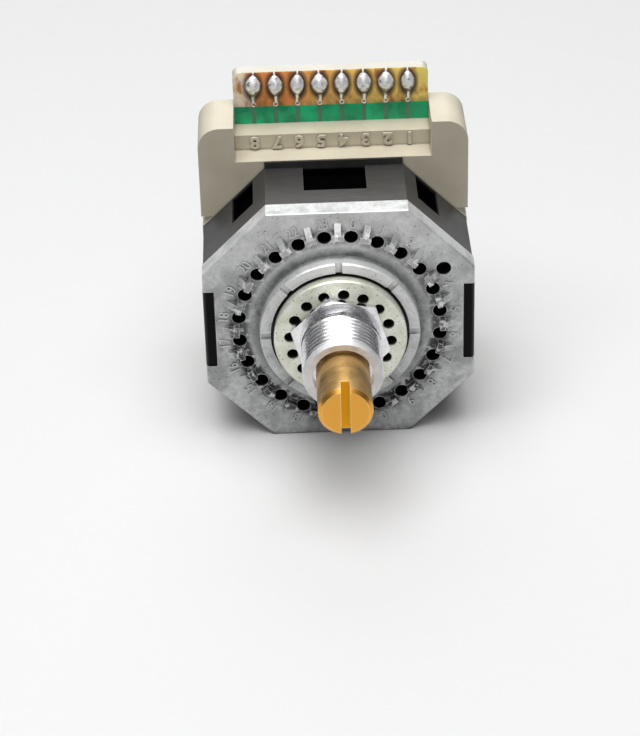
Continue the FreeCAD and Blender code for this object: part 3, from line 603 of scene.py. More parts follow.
@dataclass(frozen=True)
class TurnedBrass:
    """Brass from the lathe: fine rings along the shaft, a tarnished side and a fresher cut tip."""

    name: str
    light: Colour = (0.79, 0.50, 0.195)
    dark: Colour = (0.60, 0.365, 0.124)
    fresh: Colour = (0.75, 0.368, 0.064)
    slot_colour: Colour = (0.66, 0.30, 0.012)
    # Pale colour of worn edges, which also paints the highlight along them.
    edge_colour: Colour = (1.0, 0.74, 0.36)
    edge_wear: float = 0.14 * MM
    blotch: float = 2.2 * MM
    roughness: Span = (0.20, 0.40)
    ring_pitch: float = 0.09 * MM
    ring_depth: float = 0.004 * MM
    ring_length: float = 400.0
    shaft_front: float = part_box("shaft")[0][1]
    tip_length: float = 0.45 * MM
    tip_skin: float = 0.05 * MM
    slot_depth: float = 1.65 * MM
    slot_reach: float = 0.52 * MM

    def cut(self, shading: Shading, base: Socket) -> Socket:
        """Colours the freshly cut tip and its slot.

        Args:
            shading: the material under construction.
            base: the colour of the tarnished side.

        Returns:
            The colour.
        """
        across, along, _ = shading.axes()
        tip = self.shaft_front + self.tip_length
        tipped = shading.mix(shading.under(along, tip), base, self.fresh)
        slot = shading.under(shading.size(across), self.slot_reach)
        slot = shading.times(slot, shading.under(along, self.shaft_front + self.slot_depth))
        inside = shading.over(along, tip - self.tip_skin)
        return shading.mix(shading.times(slot, inside), tipped, self.slot_colour)

    def build(self) -> Material:
        """Makes the material.

        Returns:
            The finished material.
        """
        shading = Shading(self.name)
        cloud = shading.noise(self.blotch, detail=6.0)
        tint = self.cut(shading, shading.ramp(cloud, [(0.35, self.dark), (0.6, self.light)]))
        # Worn edges painted pale, partly as a painted highlight.
        shading.give("Base Color", shading.mix(shading.edge(self.edge_wear), tint, self.edge_colour))
        rings = shading.noise(self.ring_pitch, detail=2.0, stretch=(self.ring_length, 1.0, self.ring_length))
        shading.give("Roughness", shading.spread(rings, *self.roughness))
        shading.give("Metallic", 1.0)
        shading.bump(rings, self.ring_depth)
        return shading.material


@dataclass(frozen=True)
class MouldedPlastic:
    """A moulded plastic with a faint grain, uneven gloss, slightly worn edges painted pale partly as a
    highlight, and painted shade in corners.
    """

    name: str
    colour: Colour
    shade: Colour
    # Pale colour of worn edges, which also paints the highlight along them.
    rubbed: Colour
    roughness: float = 0.5
    specular: float = 0.5
    rubbed_beyond: float = 1.0
    rubbed_edge: float = 0.25 * MM
    edge_wear: float = 0.10 * MM
    cloud: float = 5.0 * MM
    grain: float = 0.12 * MM
    grain_depth: float = 0.004 * MM
    # Reach of the painted shade in corners.
    corner: float = 0.35 * MM
    corner_openness: Span = (0.9, 0.45)
    corner_share: float = 0.6
    corner_tint: float = 0.35

    def surface(self, shading: Shading, cloud: Socket) -> Socket:
        """The colour of the outer skin.

        Args:
            shading: the material under construction.
            cloud: slow noise over the whole moulding.

        Returns:
            The colour.
        """
        base = shading.ramp(cloud, [(0.35, self.shade), (0.62, self.colour)])
        aside = shading.size(shading.axes()[0])
        outer = shading.mapped(aside, (self.rubbed_beyond, self.rubbed_beyond + self.rubbed_edge))
        # Worn edges painted pale, partly as a painted highlight.
        worn = shading.mix(shading.larger(shading.edge(self.edge_wear), outer), base, self.rubbed)
        # Painted shade in corners, from ambient occlusion.
        shut = shading.mapped(shading.openness(self.corner), self.corner_openness)
        grime = tuple(part * self.corner_tint for part in self.shade)
        return shading.mix(shading.times(shut, self.corner_share), worn, grime)

    def build(self) -> Material:
        """Makes the material.

        Returns:
            The finished material.
        """
        shading = Shading(self.name)
        shading.give("Specular IOR Level", self.specular)
        cloud = shading.noise(self.cloud, detail=6.0)
        shading.give("Base Color", self.surface(shading, cloud))
        shading.give("Roughness", shading.spread(cloud, self.roughness * 0.85, self.roughness * 1.15))
        shading.bump(shading.noise(self.grain, detail=2.0), self.grain_depth)
        return shading.material


@dataclass(frozen=True)
class ScuffedMoulding(MouldedPlastic):
    """Dark plastic with pale scuffs along the shaft's direction, painted shade towards the back and
    near-black pockets of painted shade.
    """

    scuff: Colour = (0.105, 0.102, 0.10)
    scuff_share: Span = (-0.1, 0.35)
    streak: float = 0.7 * MM
    streak_stretch: Triple = (2.5, 0.5, 2.5)
    # Painted shade that darkens the skin towards the back, under the wings.
    sheltered: Span = (6.5 * MM, 11.0 * MM)
    sheltered_share: float = 0.55
    sheltered_tint: float = 0.3
    # Near-black painted shade inside the window pockets.
    pocket: Colour = (0.0012, 0.0012, 0.0012)
    pocket_front: float = 9.23 * MM
    pocket_back: float = 14.87 * MM
    pocket_skin: Span = (0.06 * MM, 0.35 * MM)
    half_width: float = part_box("front_housing")[1][0]
    half_height: float = -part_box("front_housing")[0][2]
    corner_reach: float = 15.74 * MM

    def pockets(self, shading: Shading) -> Socket:
        """Finds what lies under the octagon's skin, between the front and the back of the window pockets.

        Args:
            shading: the material under construction.

        Returns:
            1 in a pocket, 0 on the skin.
        """
        across, along, up = shading.axes()
        wide = shading.size(across)
        tall = shading.size(up)
        slant = shading.times(shading.plus(wide, tall), math.sqrt(0.5))
        depth = shading.minus(self.half_width, wide)
        depth = shading.smaller(depth, shading.minus(self.half_height, tall))
        depth = shading.smaller(depth, shading.minus(self.corner_reach, slant))
        lengthwise = shading.over(along, self.pocket_front)
        lengthwise = shading.times(lengthwise, shading.under(along, self.pocket_back))
        return shading.times(shading.mapped(depth, self.pocket_skin), lengthwise)

    def surface(self, shading: Shading, cloud: Socket) -> Socket:
        """The colour of the outer skin and of the pockets in it, which are painted near-black as shade and
        also lose their gloss.

        Args:
            shading: the material under construction.
            cloud: slow noise over the whole moulding.

        Returns:
            The colour.
        """
        skin = super().surface(shading, cloud)
        streaks = shading.noise(self.streak, detail=8.0, stretch=self.streak_stretch)
        skin = shading.mix(shading.spread(streaks, *self.scuff_share), skin, self.scuff)
        # Painted shade: the skin darkens towards the back, under the wings.
        back_shade = shading.times(shading.mapped(shading.axes()[1], self.sheltered), self.sheltered_share)
        skin = shading.mix(back_shade, skin, tuple(part * self.sheltered_tint for part in self.colour))
        # The pockets are painted near-black as shade.
        inside = self.pockets(shading)
        shading.give("Specular IOR Level", shading.times(shading.minus(1.0, inside), self.specular))
        return shading.mix(inside, skin, self.pocket)


@dataclass(frozen=True)
class SmoothSteel:
    """Plain steel or wire, lightly oiled."""

    name: str
    colour: Colour = (0.55, 0.56, 0.58)
    roughness: float = 0.3
    blotch: float = 0.9 * MM
    film_depth: float = 0.002 * MM
    oiled_tint: float = 0.72

    def build(self) -> Material:
        """Makes the material.

        Returns:
            The finished material.
        """
        shading = Shading(self.name)
        film = shading.noise(self.blotch, detail=5.0)
        oiled = tuple(part * self.oiled_tint for part in self.colour)
        shading.give("Base Color", shading.ramp(film, [(0.35, oiled), (0.6, self.colour)]))
        shading.give("Roughness", shading.spread(film, self.roughness * 0.7, self.roughness * 1.3))
        shading.give("Metallic", 1.0)
        shading.bump(film, self.film_depth)
        return shading.material


@dataclass(frozen=True)
class WettedSolder:
    """Tin-lead solder with dull spots, a painted highlight on each bead's side that faces up and forward, and
    painted shade on the rest.
    """

    name: str
    bright: Colour = (0.98, 0.98, 0.98)
    dull: Colour = (0.30, 0.27, 0.24)
    foot: Colour = (0.20, 0.165, 0.12)
    # Faces turned this way get the painted highlight; the rest get the foot colour as painted shade.
    crown: Triple = (0.0, -0.86, 0.51)
    crown_cosine: Span = (0.38, 0.66)
    unevenness: float = 0.16
    spot: float = 0.55 * MM
    spot_depth: float = 0.05 * MM
    roughness: Span = (0.46, 0.26)
    metal: float = 0.7

    def build(self) -> Material:
        """Makes the material.

        Returns:
            The finished material.
        """
        shading = Shading(self.name)
        spots = shading.noise(self.spot)
        tint = shading.ramp(spots, [(0.30, self.dull), (0.42, self.bright)])
        ragged = shading.spread(spots, -self.unevenness, self.unevenness)
        # Painted highlight where a face turns towards crown, painted shade elsewhere.
        core = shading.mapped(shading.plus(shading.facing(self.crown), ragged), self.crown_cosine)
        shading.give("Base Color", shading.mix(core, self.foot, tint))
        shading.give("Roughness", shading.spread(spots, *self.roughness))
        shading.give("Metallic", self.metal)
        shading.bump(spots, self.spot_depth)
        return shading.material


@dataclass(frozen=True)
class SolderMaskBoard:
    """A printed board: green mask with traces below, bare laminate stained by flux above."""

    name: str
    joint_height: float
    pitch: float
    half_width: float = 11.2 * MM
    mask_top: float = 19.2 * MM
    mask_edge: float = 0.04 * MM
    mask_ripple: float = 0.25 * MM
    cloud: float = 3.5 * MM
    green: Colour = (0.001, 0.27, 0.115)
    pale_green: Colour = (0.002, 0.50, 0.21)
    trace: Colour = (0.075, 0.22, 0.13)
    trace_width: float = 0.5 * MM
    trace_depth: float = 0.02 * MM
    clean: Colour = (0.95, 0.80, 0.68)
    red_flux: Colour = (0.90, 0.36, 0.10)
    amber: Colour = (0.98, 0.62, 0.19)
    yellow: Colour = (0.99, 0.74, 0.20)
    brown: Colour = (0.55, 0.24, 0.05)
    band_bend: float = 0.11
    brown_patch: float = 0.9 * MM
    brown_stretch: Triple = (1.0, 1.0, 2.2)
    brown_noise: Span = (0.54, 0.70)
    burnt: Colour = (0.08, 0.025, 0.010)
    burnt_patch: float = 1.3 * MM
    stain_half_width: float = 1.15 * MM
    stain_half_height: float = 1.95 * MM
    stain_edge: Span = (0.5, 1.35)
    stain_reach: float = 10.1 * MM
    cooked_height: float = 1.6 * MM
    cooked_share: float = 0.8
    cut_edge: Colour = (0.55, 0.525, 0.445)
    roughness: Span = (0.22, 0.40)
    translucency: float = 0.65
    light_reach: float = 2.2 * MM
    light_colour: Colour = (1.0, 0.7, 0.35)

    def flux(self, shading: Shading, across: Socket, cloud: Socket) -> Socket:
        """The flux on the bare laminate, from clean at the left through red and amber to yellow.

        Args:
            shading: the material under construction.
            across: the x of the point.
            cloud: slow noise that bends the bands.

        Returns:
            The colour.
        """
        share = shading.mapped(across, (-self.half_width, self.half_width))
        bands = shading.ramp(shading.plus(share, shading.spread(cloud, -self.band_bend, self.band_bend)), [
            (0.0, self.clean), (0.045, self.clean), (0.11, self.red_flux), (0.3, self.red_flux),
            (0.52, self.amber), (0.92, self.yellow),
        ])
        blotches = shading.noise(self.brown_patch, detail=5.0, stretch=self.brown_stretch)
        return shading.mix(shading.mapped(blotches, self.brown_noise), bands, self.brown)

    def scorched(self, shading: Shading, beside: Socket) -> Socket:
        """How far heat has burnt the flux: round each joint, and in patches just above the mask.

        Args:
            shading: the material under construction.
            beside: the sideways distance from the nearest joint.

        Returns:
            The share of the burnt colour.
        """
        across, _, up = shading.axes()
        wide = shading.ratio(beside, self.stain_half_width)
        tall = shading.ratio(shading.minus(up, self.joint_height), self.stain_half_height)
        ring = shading.plus(shading.times(wide, wide), shading.times(tall, tall))
        stain = shading.minus(1.0, shading.mapped(ring, self.stain_edge))
        stain = shading.times(stain, shading.under(shading.size(across), self.stain_reach))
        low = shading.minus(1.0, shading.mapped(up, (self.mask_top, self.mask_top + self.cooked_height)))
        patches = shading.noise(self.burnt_patch, detail=5.0)
        return shading.larger(stain, shading.times(low, shading.spread(patches, 0.0, self.cooked_share)))

    def build(self) -> Material:
        """Makes the material.

        Returns:
            The finished material.
        """
        shading = Shading(self.name)
        across, _, up = shading.axes()
        half_pitch = self.pitch / 2
        beside = shading.minus(half_pitch, shading.math("PINGPONG", across, half_pitch))
        cloud = shading.noise(self.cloud, detail=6.0)
        bare = shading.mix(self.scorched(shading, beside), self.flux(shading, across, cloud), self.burnt)

        mottled = shading.ramp(cloud, [(0.4, self.green), (0.6, self.pale_green)])
        on_trace = shading.under(beside, self.trace_width / 2)
        mask = shading.mix(on_trace, mottled, self.trace)
        ripple = shading.plus(up, shading.times(shading.minus(cloud, 0.5), self.mask_ripple))
        above = shading.mapped(ripple, (self.mask_top - self.mask_edge, self.mask_top + self.mask_edge))
        rim = shading.under(shading.size(shading.facing(tuple(SHAFT_DIRECTION))), 0.5)
        shading.give("Base Color", shading.mix(rim, shading.mix(above, mask, bare), self.cut_edge))

        lit_through = shading.times(shading.minus(above, rim), self.translucency)
        shading.give("Subsurface Weight", shading.larger(lit_through, 0.0))
        shading.give("Subsurface Radius", self.light_colour)
        shading.give("Subsurface Scale", self.light_reach)
        shading.give("Roughness", shading.spread(cloud, *self.roughness))
        shading.bump(on_trace, self.trace_depth)
        return shading.material


class Workpiece:
    """A mesh under construction that ends as one finished object."""

    def __init__(self, name: str) -> None:
        """Starts an empty mesh.

        Args:
            name: the piece's name in the scene.
        """
        self.name = name
        self.mesh = bmesh.new()

    def added(self, before: set[bmesh.types.BMVert]) -> list[bmesh.types.BMVert]:
        """The vertices that weren't in the mesh before."""
        return [vert for vert in self.mesh.verts if vert not in before]

    def turn(self, section: list[object], axis: Vector, steps: int) -> None:
        """Turns a section once round an axis through the origin.

        Args:
            section: its vertices and edges.
            axis: the axis's direction.
            steps: the number of sides.
        """
        bmesh.ops.spin(
            self.mesh, geom=section, cent=(0, 0, 0), axis=axis,
            angle=2 * math.pi, steps=steps, use_merge=True, use_duplicate=False,
        )

    def spun(self, profile: list[Span], steps: int) -> list[bmesh.types.BMVert]:
        """Revolves a closed profile about the shaft's axis.

        Args:
            profile: corners as (radius, place along the shaft).
            steps: the number of sides.

        Returns:
            The new vertices.
        """
        before = set(self.mesh.verts)
        corners = [self.mesh.verts.new((radius, along, 0.0)) for radius, along in profile]
        sides = [self.mesh.edges.new(pair) for pair in zip(corners, corners[1:] + corners[:1])]
        self.turn(corners + sides, SHAFT_DIRECTION, steps)
        return self.added(before)

    def finish(self, material: Material, body: Body, smooth: float = 35.0) -> bpy.types.Object:
        """Turns the mesh into an object that rides on a body.

        Args:
            material: the finish.
            body: the body that carries it.
            smooth: edges sharper than this many degrees stay sharp.

        Returns:
            The finished object.
        """
        bmesh.ops.remove_doubles(self.mesh, verts=self.mesh.verts, dist=MERGE_DISTANCE)
        bmesh.ops.recalc_face_normals(self.mesh, faces=self.mesh.faces)
        for face in self.mesh.faces:
            face.smooth = True
        for seam in self.mesh.edges:
            if len(seam.link_faces) == 2 and seam.calc_face_angle() > math.radians(smooth):
                seam.smooth = False
        data = bpy.data.meshes.new(self.name)
        self.mesh.to_mesh(data)
        self.mesh.free()
        data.materials.append(material)
        piece = bpy.data.objects.new(self.name, data)
        bpy.context.scene.collection.objects.link(piece)
        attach(piece, body.value)
        LOG.info("%s: %d faces on %s", self.name, len(data.polygons), body.value)
        return piece


@dataclass(frozen=True)
class ThreadedBushing:
    """The plated bushing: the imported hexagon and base, with a real thread on its nose."""

    radius: float = 4.5 * MM
    reach: float = 7.3 * MM
    base_length: float = 1.1 * MM
    relief_width: float = 0.7 * MM
    relief_depth: float = 0.45 * MM
    chamfer: float = 0.45 * MM
    bore: float = 2.83 * MM
    mouth: float = 3.35 * MM
    mouth_depth: float = 0.8 * MM
    tail: float = 0.2 * MM
    overlap: float = 0.02 * MM
    pitch: float = 0.75 * MM
    thread_depth: float = 0.32 * MM
    groove_share: float = 0.44
    run_out: float = 0.5 * MM
    run_out_start: float = 0.35
    tolerance: float = 0.01 * MM
    cut_tolerance: float = 1e-8
    rings_per_turn: int = 12
    sides: int = 96

    def threaded(self) -> Span:
        """The places along the shaft where the thread starts and ends."""
        return self.chamfer - self.reach, -self.base_length - self.relief_width

    def thread_radius(self, along: float, angle: float) -> float:
        """The thread's outer radius at one place.

        Args:
            along: the place along the shaft.
            angle: the turn about the shaft, in radians.

        Returns:
            The radius in metres.
        """
        front, back = self.threaded()
        phase = (along / self.pitch - angle / (2 * math.pi)) % 1.0
        groove = max(0.0, 1.0 - abs(phase - 0.5) / self.groove_share)
        from_end = min(along - front, back - along)
        fade = min(1.0, from_end / self.run_out + self.run_out_start)
        return self.radius - self.thread_depth * groove * max(0.0, fade)

    def nose(self, work: Workpiece) -> None:
        """Adds the nose in front of the plain base, thread and relief included.

        Args:
            work: the mesh that it joins.
        """
        front, back = self.threaded()
        count = round((back - front) / self.pitch * self.rings_per_turn)
        wall = [(self.radius, front + (back - front) * ring / count) for ring in range(count + 1)]
        profile = [(self.mouth, -self.reach), (self.radius - self.chamfer, -self.reach)] + wall + [
            (self.radius - self.relief_depth, back),
            (self.radius - self.relief_depth, -self.base_length + self.tail),
            (self.bore, -self.base_length + self.tail),
            (self.bore, self.mouth_depth - self.reach),
            (self.mouth, self.mouth_depth - self.reach),
        ]
        for vert in work.spun(profile, self.sides):
            around = math.hypot(vert.co.x, vert.co.z)
            if abs(around - self.radius) < self.tolerance and front <= vert.co.y <= back:
                radius = self.thread_radius(vert.co.y, math.atan2(vert.co.z, vert.co.x))
                vert.co.x *= radius / around
                vert.co.z *= radius / around

    def base(self, work: Workpiece) -> None:
        """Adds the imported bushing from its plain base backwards.

        Args:
            work: the mesh that it joins.
        """
        copy = bmesh.new()
        copy.from_mesh(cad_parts["threaded_bushing"].data)
        bmesh.ops.remove_doubles(copy, verts=copy.verts, dist=MERGE_DISTANCE)
        bmesh.ops.bisect_plane(
            copy, geom=copy.verts[:] + copy.edges[:] + copy.faces[:], dist=self.cut_tolerance,
            plane_co=(0.0, self.overlap - self.base_length, 0.0), plane_no=-SHAFT_DIRECTION, clear_outer=True,
        )
        bmesh.ops.bridge_loops(copy, edges=[edge for edge in copy.edges if edge.is_boundary])
        spare = bpy.data.meshes.new("bushing_base")
        copy.to_mesh(spare)
        copy.free()
        work.mesh.from_mesh(spare)
        bpy.data.meshes.remove(spare)

    def build(self, material: Material) -> None:
        """Makes the bushing, which replaces the plain one.

        Args:
            material: its plating.
        """
        work = Workpiece("bushing_with_thread")
        self.base(work)
        self.nose(work)
        piece = work.finish(material, Body.HOUSING)
        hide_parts("threaded_bushing")


@dataclass(frozen=True)
class RaisedNumbers:
    """Plain cast or moulded numbers that stand out of a face."""

    name: str
    slot: str
    height: float
    relief: float
    facing: Facing
    weight: float = 0.0
    width: float = 0.82
    sunk: float = 0.05 * MM
    curve_steps: int = 4
    font_merge: float = 1e-5
    smooth: float = 20.0

    def flat(self, text: str) -> bpy.types.Mesh:
        """One number as a flat mesh of the font's own size.

        Args:
            text: the number.

        Returns:
            The mesh.
        """
        curve = bpy.data.curves.new("number", "FONT")
        curve.body = text
        curve.align_x = "CENTER"
        curve.align_y = "CENTER"
        curve.resolution_u = self.curve_steps
        curve.offset = self.weight
        holder = bpy.data.objects.new("number", curve)
        bpy.context.scene.collection.objects.link(holder)
        made = bpy.data.meshes.new_from_object(holder)
        bpy.data.objects.remove(holder)
        bpy.data.curves.remove(curve)
        return made

    def glyph(self, text: str) -> bpy.types.Mesh:
        """One number as a flat-backed mesh, centred on the origin and facing +Z.

        Args:
            text: the number.

        Returns:
            The mesh.
        """
        made = self.flat(text)
        shape = bmesh.new()
        shape.from_mesh(made)
        bmesh.ops.remove_doubles(shape, verts=shape.verts, dist=self.font_merge)
        low = Vector([min(vert.co[axis] for vert in shape.verts) for axis in range(3)])
        high = Vector([max(vert.co[axis] for vert in shape.verts) for axis in range(3)])
        scale = self.height / (high.y - low.y)
        bmesh.ops.translate(shape, verts=shape.verts, vec=-(low + high) / 2)
        bmesh.ops.scale(shape, verts=shape.verts, vec=(scale * self.width, scale, 1.0))
        raised = bmesh.ops.extrude_face_region(shape, geom=shape.faces[:])
        tops = [item for item in raised["geom"] if isinstance(item, bmesh.types.BMVert)]
        bmesh.ops.translate(shape, verts=tops, vec=(0.0, 0.0, self.relief + self.sunk))
        bmesh.ops.translate(shape, verts=shape.verts, vec=(0.0, 0.0, -self.sunk))
        shape.to_mesh(made)
        shape.free()
        return made

    def place(self, centre: Vector) -> Matrix:
        """Where a number stands.

        Args:
            centre: its middle, on the face that carries it.

        Returns:
            The matrix from the number's own axes to the frame.
        """
        if self.facing is Facing.OUTWARDS:
            up = Vector((centre.x, 0.0, centre.z)).normalized()
        else:
            up = Vector((0.0, 0.0, -1.0))
        out = -SHAFT_DIRECTION
        axes = Matrix((up.cross(out), up, out)).transposed().to_4x4()
        return Matrix.Translation(centre) @ axes

    def build(self, places: dict[str, Vector], material: Material) -> None:
        """Makes every number as one piece.

        Args:
            places: each number with its middle.
            material: the finish of what carries it.
        """
        work = Workpiece(self.name)
        for text, centre in places.items():
            glyph = self.glyph(text)
            glyph.transform(self.place(centre))
            work.mesh.from_mesh(glyph)
            bpy.data.meshes.remove(glyph)
        piece = work.finish(material, Body.HOUSING, self.smooth)


@dataclass(frozen=True)
class IndexScale:
    """The numbers outside the ring of index holes."""

    positions: int = 24
    circle: float = 13.2 * MM
    height: float = 1.2 * MM
    relief: float = 0.14 * MM
    plate_front: float = 3.6 * MM
    hole_room: float = 1.9 * MM

    def places(self) -> dict[str, Vector]:
        """Finds room for the numbers.

        Returns:
            Each number's middle, without the one that the locating hole leaves no room for.
        """
        found = {}
        for number in range(self.positions):
            angle = 2 * math.pi * (number + 0.5) / self.positions
            centre = Vector((math.sin(angle) * self.circle, self.plate_front, math.cos(angle) * self.circle))
            if math.dist((centre.x, centre.z), LOCATING_HOLE) > self.hole_room:
                found[str(number)] = centre
        return found

    def build(self, material: Material) -> None:
        """Makes the scale.

        Args:
            material: the plate's metal.
        """
        numbers = RaisedNumbers("index_numbers", "cast_plate", self.height, self.relief, Facing.OUTWARDS)
        numbers.build(self.places(), material)


@dataclass(frozen=True)
class TerminalRow:
    """The eight solder joints and the numbers moulded on the riser in front of them."""

    count: int = 8
    pitch: float = 2.54 * MM
    height: float = 21.8 * MM
    board_front: float = 21.1 * MM
    bead_radius: float = 0.95 * MM
    bead_half_height: float = 1.35 * MM
    bead_steps: int = 22
    bead_powers: Span = (1.7, 0.85)
    spike_height: float = 1.69 * MM
    spike_tip: float = 0.05 * MM
    spike_share: float = 0.8
    neck_radius: float = 0.15 * MM
    neck_foot: float = 2.1 * MM
    neck_foot_share: float = 1.3
    neck_top_share: float = 1.1
    ring_radius: float = 0.24 * MM
    ring_wire_share: float = 0.34
    ring_sides: int = 20
    wire_sides: int = 10
    flattening: float = 0.86
    sides: int = 32
    smooth: float = 60.0
    uneven_width: float = 0.09
    width_wave: Span = (2.4, 0.6)
    uneven_lean: float = 0.05
    lean_wave: Span = (3.1, 1.0)
    riser_front: float = 18.15 * MM
    riser_middle: float = 16.13 * MM
    number_height: float = 1.5 * MM
    number_relief: float = 0.32 * MM
    number_weight: float = 0.03
    number_width: float = 1.1

    def across(self, number: int) -> float:
        """The x of one terminal, counted from the left."""
        return (number - (self.count - 1) / 2) * self.pitch

    def wave(self, number: int, terms: Span) -> float:
        """A value from -1 to 1 that makes the joints unlike each other.

        Args:
            number: the terminal, counted from the left.
            terms: the step from one joint to the next and the first joint's phase, in radians.

        Returns:
            The value.
        """
        step, phase = terms
        return math.sin(step * number + phase)

    def outline(self, plump: float) -> list[Span]:
        """The outline of a joint as (radius, height above its middle), from foot to tip.

        Args:
            plump: the bead's width as a share of the usual one.

        Returns:
            The outline's points.
        """
        inner, outer = self.bead_powers
        points = [(0.0, -self.neck_foot), (self.neck_radius * self.neck_foot_share, -self.neck_foot)]
        for step in range(1, self.bead_steps):
            share = step / self.bead_steps * 2 - 1
            bulge = max(0.0, 1 - abs(share) ** inner) ** outer
            waist = self.neck_radius if share < 0 else self.neck_radius * self.neck_top_share
            points.append((waist + (self.bead_radius * plump - waist) * bulge, share * self.bead_half_height))
        points.append((self.neck_radius, self.bead_half_height))
        points.append((self.neck_radius * self.spike_share, self.spike_height))
        points.append((0.0, self.spike_height + self.spike_tip))
        return points

    def joint(self, work: Workpiece, number: int) -> None:
        """Adds one joint: a pointed bead with a thin neck that runs down to a small ring.

        Args:
            work: the mesh that it joins.
            number: the terminal, counted from the left.
        """
        plump = 1.0 + self.uneven_width * self.wave(number, self.width_wave)
        lean = self.uneven_lean * self.wave(number, self.lean_wave)
        before = set(work.mesh.verts)
        outline = [work.mesh.verts.new((radius, 0.0, level)) for radius, level in self.outline(plump)]
        sides = [work.mesh.edges.new(pair) for pair in zip(outline, outline[1:])]
        work.turn(outline + sides, Vector((0.0, 0.0, 1.0)), self.sides)
        bmesh.ops.remove_doubles(work.mesh, verts=work.added(before), dist=MERGE_DISTANCE)
        made = work.added(before)
        bmesh.ops.scale(work.mesh, verts=made, vec=(1.0, self.flattening, 1.0))
        bmesh.ops.rotate(work.mesh, verts=made, cent=(0, 0, 0), matrix=Matrix.Rotation(lean, 3, "Y"))
        middle = Vector((self.across(number), self.board_front, self.height))
        bmesh.ops.translate(work.mesh, verts=made, vec=middle)

    def eyelet(self, work: Workpiece, number: int) -> None:
        """Adds the plated ring at the foot of a joint's neck.

        Args:
            work: the mesh that it joins.
            number: the terminal, counted from the left.
        """
        before = set(work.mesh.verts)
        wire = self.ring_radius * self.ring_wire_share
        section = bmesh.ops.create_circle(work.mesh, segments=self.wire_sides, radius=wire)["verts"]
        bmesh.ops.translate(work.mesh, verts=section, vec=(self.ring_radius, 0.0, 0.0))
        rim = list({edge for vert in section for edge in vert.link_edges})
        work.turn(section + rim, SHAFT_DIRECTION, self.ring_sides)
        level = self.height - self.neck_foot - self.ring_radius
        foot = Vector((self.across(number), self.board_front, level))
        bmesh.ops.translate(work.mesh, verts=work.added(before), vec=foot)

    def build(self, solder: Material, plastic: Material) -> None:
        """Makes the joints, which replace the plain beads, and the riser's numbers.

        Args:
            solder: the joints' metal.
            plastic: the riser's plastic.
        """
        work = Workpiece("solder_row")
        places = {}
        for number in range(self.count):
            self.joint(work, number)
            self.eyelet(work, number)
            middle = Vector((self.across(number), self.riser_front, self.riser_middle))
            places[str(self.count - number)] = middle
        piece = work.finish(solder, Body.HOUSING, self.smooth)
        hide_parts("solder_joints")

        numbers = RaisedNumbers(
            "terminal_numbers", "beige_plastic", self.number_height, self.number_relief, Facing.INVERTED,
            self.number_weight, self.number_width,
        )
        numbers.build(places, plastic)


@dataclass(frozen=True)
class DetentSprings:
    """The two detent springs, copied from their packed coils at rest length."""

    foot: float = 4.6 * MM
    travel: float = 0.45 * MM

    def build(self, finish: Material) -> None:
        """Makes both springs from their packed coils, which stand at rest length.

        Args:
            finish: the spring wire.
        """
        for side, upwards in (("top", 1.0), ("bottom", -1.0)):
            node = f"detent_spring_{side}"
            work = Workpiece(f"pressed_spring_{side}")
            work.mesh.from_mesh(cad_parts[node].data)
            piece = work.finish(finish, Body.ROTOR)
            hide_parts(node)
            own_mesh(piece)


@dataclass(frozen=True)
class Lamp:
    """One soft square lamp: where it hangs, the length of its side and its power in watts."""

    name: str
    place: Triple
    side: float
    power: float

    def build(self, target: Vector) -> None:
        """Makes the lamp.

        Args:
            target: what it points at.
        """
        data = bpy.data.lights.new(self.name, "AREA")
        data.shape = "SQUARE"
        data.size = self.side
        data.energy = self.power
        holder = bpy.data.objects.new(self.name, data)
        bpy.context.scene.collection.objects.link(holder)
        place = Vector(self.place)
        facing = (target - place).to_track_quat("-Z", "Y").to_matrix().to_4x4()
        holder.matrix_world = Matrix.Translation(place) @ facing


